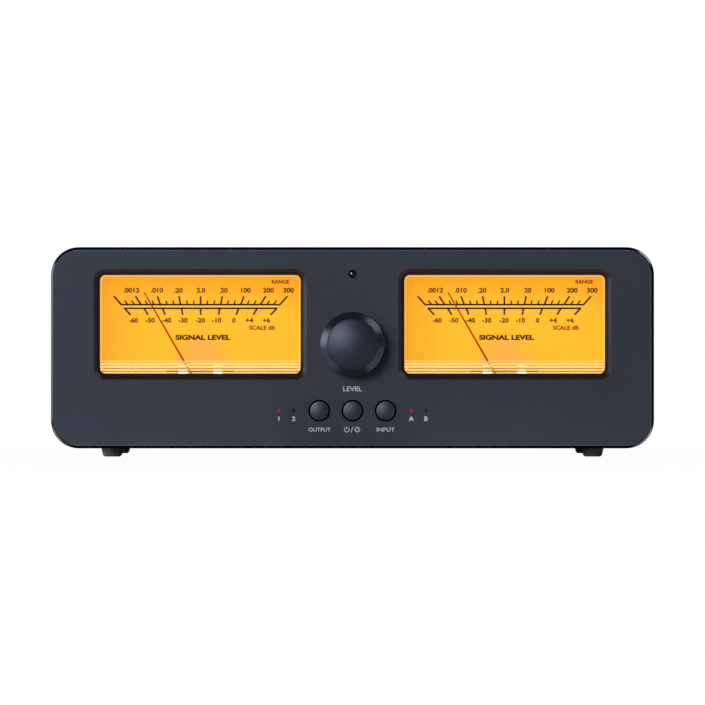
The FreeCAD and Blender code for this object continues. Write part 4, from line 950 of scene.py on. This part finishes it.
def knob_rings():
    """The knob's outline from the bore for its shaft, over its skirt and bevel, to its domed face."""
    back, face = KNOB_LONG, KNOB_FACE / MM
    rings = [
        (POLE, back - BORE_DEEP), (SHAFT_BORE, back - BORE_DEEP), (SHAFT_BORE, back - RECESS_DEEP),
        (RECESS_RADIUS, back - RECESS_DEEP), (RECESS_RADIUS, back - 0.2),
        (RECESS_RADIUS + 0.2, back), (KNOB_RADIUS - 0.2, back), (KNOB_RADIUS, back - 0.2),
        (KNOB_RADIUS, 3.75), (KNOB_RADIUS - 0.07, 3.58), (KNOB_RADIUS - 0.2, 3.45),
        (face + 0.14, 1.62), (face + 0.02, 1.55), (face, KNOB_DOME + 0.04),
    ]
    for step in range(1, DOME_RINGS):
        radius = (face - 0.06) * (1 - step / DOME_RINGS)
        drop = DOME_ROUND - math.sqrt(DOME_ROUND ** 2 - radius ** 2)
        rings.append((radius, drop))
    return rings + [(POLE, 0.0)]


knob_piece = turned_piece(knob_rings(), 128)
knob_piece.data.transform(Matrix.Translation((0, knob_low.y, middle_of("knob").z)))
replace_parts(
    settle(knob_piece, "turned_knob", FINISHES["knob_anodised"], "level_knob"),
    "knob",
)

grip = turned_piece(CAP_RINGS, 64, ridged)
post_low, post_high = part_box("terminal_posts")
post_long = (post_high.y - post_low.y) / MM
post = turned_piece([
    (POLE, -post_long), (2.7, -post_long), (2.95, 0.3 - post_long), (2.95, -0.4), (2.6, 0.0),
    (2.2, 0.0), (2.0, -0.2), (2.0, -13.0), (POLE, -13.2),
], 32)
screw = turned_piece(SCREW_RINGS, 48, six_sided)

posts = []
for part in frame["record"]["subparts"]:
    node, slot = part["node"], part["material_slot"]
    if node.endswith("_cap"):
        low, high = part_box(node)
        middle = (low + high) / 2
        cap = copy_to(grip, (middle.x, low.y, middle.z))
        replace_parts(settle(cap, f"{node}_grip", FINISHES[slot], node), node)
        posts.append(copy_to(post, (middle.x, post_high.y, middle.z)))
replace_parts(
    settle(join(posts), "terminal_rods", FINISHES["gold_post"]), "terminal_posts"
)

screw_low, screw_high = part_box("rear_screws")
HEAD_HALF, HEAD_TALL = 2.8 * MM, 2.0 * MM
screws = [
    copy_to(screw, (x, screw_high.y - HEAD_TALL, z))
    for x in (screw_low.x + HEAD_HALF, screw_high.x - HEAD_HALF)
    for z in (screw_low.z + HEAD_HALF, screw_high.z - HEAD_HALF)
]
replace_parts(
    settle(join(screws), "rear_machine_screws", FINISHES["screw_steel"]),
    "rear_screws",
)
for pattern in (grip, post, screw):
    bpy.data.objects.remove(pattern)


# Floor, camera and lights
def white_floor(name, colour, whiteness):
    """Pale where light falls, and white wherever it is seen, but for the shadow by the object."""
    finish = Finish(name, colour, rough=0.9)
    x, y, z = finish.axes()
    away = finish.spread((x * x + y * y) ** 0.5, 150 * MM, 500 * MM)
    seen, mirrored = finish.rays("Camera", "Glossy")
    beside = finish.spread(abs(x), PANEL_HIGH.x, PANEL_HIGH.x + 4 * MM)
    before = finish.near(y, PANEL_FACE - 34 * MM, 24 * MM, 4 * MM)
    strips = finish.maths("MAXIMUM", beside * 0.3, before * finish.spread(abs(x), 20 * MM, 34 * MM))
    bright = finish.maths("MAXIMUM", strips, away * 0.3)
    share = seen * (away * (1 - whiteness) + whiteness) + mirrored * bright
    glow = finish.tree.nodes.new("ShaderNodeEmission")
    glow.inputs["Strength"].default_value = 1.0
    glow.inputs["Color"].default_value = (1, 1, 1, 1)
    finish.blend(share, finish.shader, glow)
    return finish


clear_selection()
bpy.ops.mesh.primitive_plane_add(size=6.0)
floor = bpy.context.object
floor.name = "studio_floor"
floor.data.materials.append(white_floor("floor_white", (0.4, 0.4, 0.4), 0.97).material)

CAMERA_AWAY = 3.0
FRAME_WIDE = 280.48 * MM
PANEL_ABOVE_VIEW = 1.88 * MM
camera_rise = (PANEL_LOW.z + PANEL_HIGH.z) / 2 - PANEL_ABOVE_VIEW
bpy.ops.object.camera_add(
    location=(0, PANEL_FACE - CAMERA_AWAY, camera_rise), rotation=(math.pi / 2, 0, 0)
)
camera = bpy.context.object
camera.data.sensor_width = 36.0
camera.data.lens = camera.data.sensor_width * CAMERA_AWAY / FRAME_WIDE
camera.data.clip_start = 0.1
camera.data.clip_end = 50.0
bpy.context.scene.camera = camera


LAMP_AIM = (0, -0.03, 0.04)


def lamp(name, place, size, power):
    """A soft square lamp aimed at the object, which the camera doesn't see."""
    bpy.ops.object.light_add(type="AREA", location=place)
    light = bpy.context.object
    light.name = name
    light.data.size = size
    light.data.energy = power
    aim = Vector(LAMP_AIM) - Vector(place)
    light.rotation_euler = aim.to_track_quat("-Z", "Y").to_euler()
    light.visible_camera = False


lamp("key_lamp", (-1.41, -4.76, 1.08), 1.6, 89)
lamp("left_lamp", (-2.35, -0.62, 0.3), 1.7, 44)
lamp("right_lamp", (1.6, -0.4, 1.5), 1.2, 13)
lamp("back_lamp", (0.9, 2.4, 1.9), 3.2, 95)

SKY_LIGHT = 0.08
world = bpy.data.worlds.new("studio")
bpy.context.scene.world = world
world.use_nodes = True
sky = Nodes(world.node_tree)
(seen,) = sky.rays("Camera")
soft = sky.tree.nodes["Background"]
soft.inputs["Color"].default_value = (1, 1, 1, 1)
soft.inputs["Strength"].default_value = SKY_LIGHT
white = sky.tree.nodes.new("ShaderNodeBackground")
white.inputs["Color"].default_value = (1, 1, 1, 1)
sky.blend(seen, soft, white)

bpy.context.scene.view_settings.view_transform = "Standard"
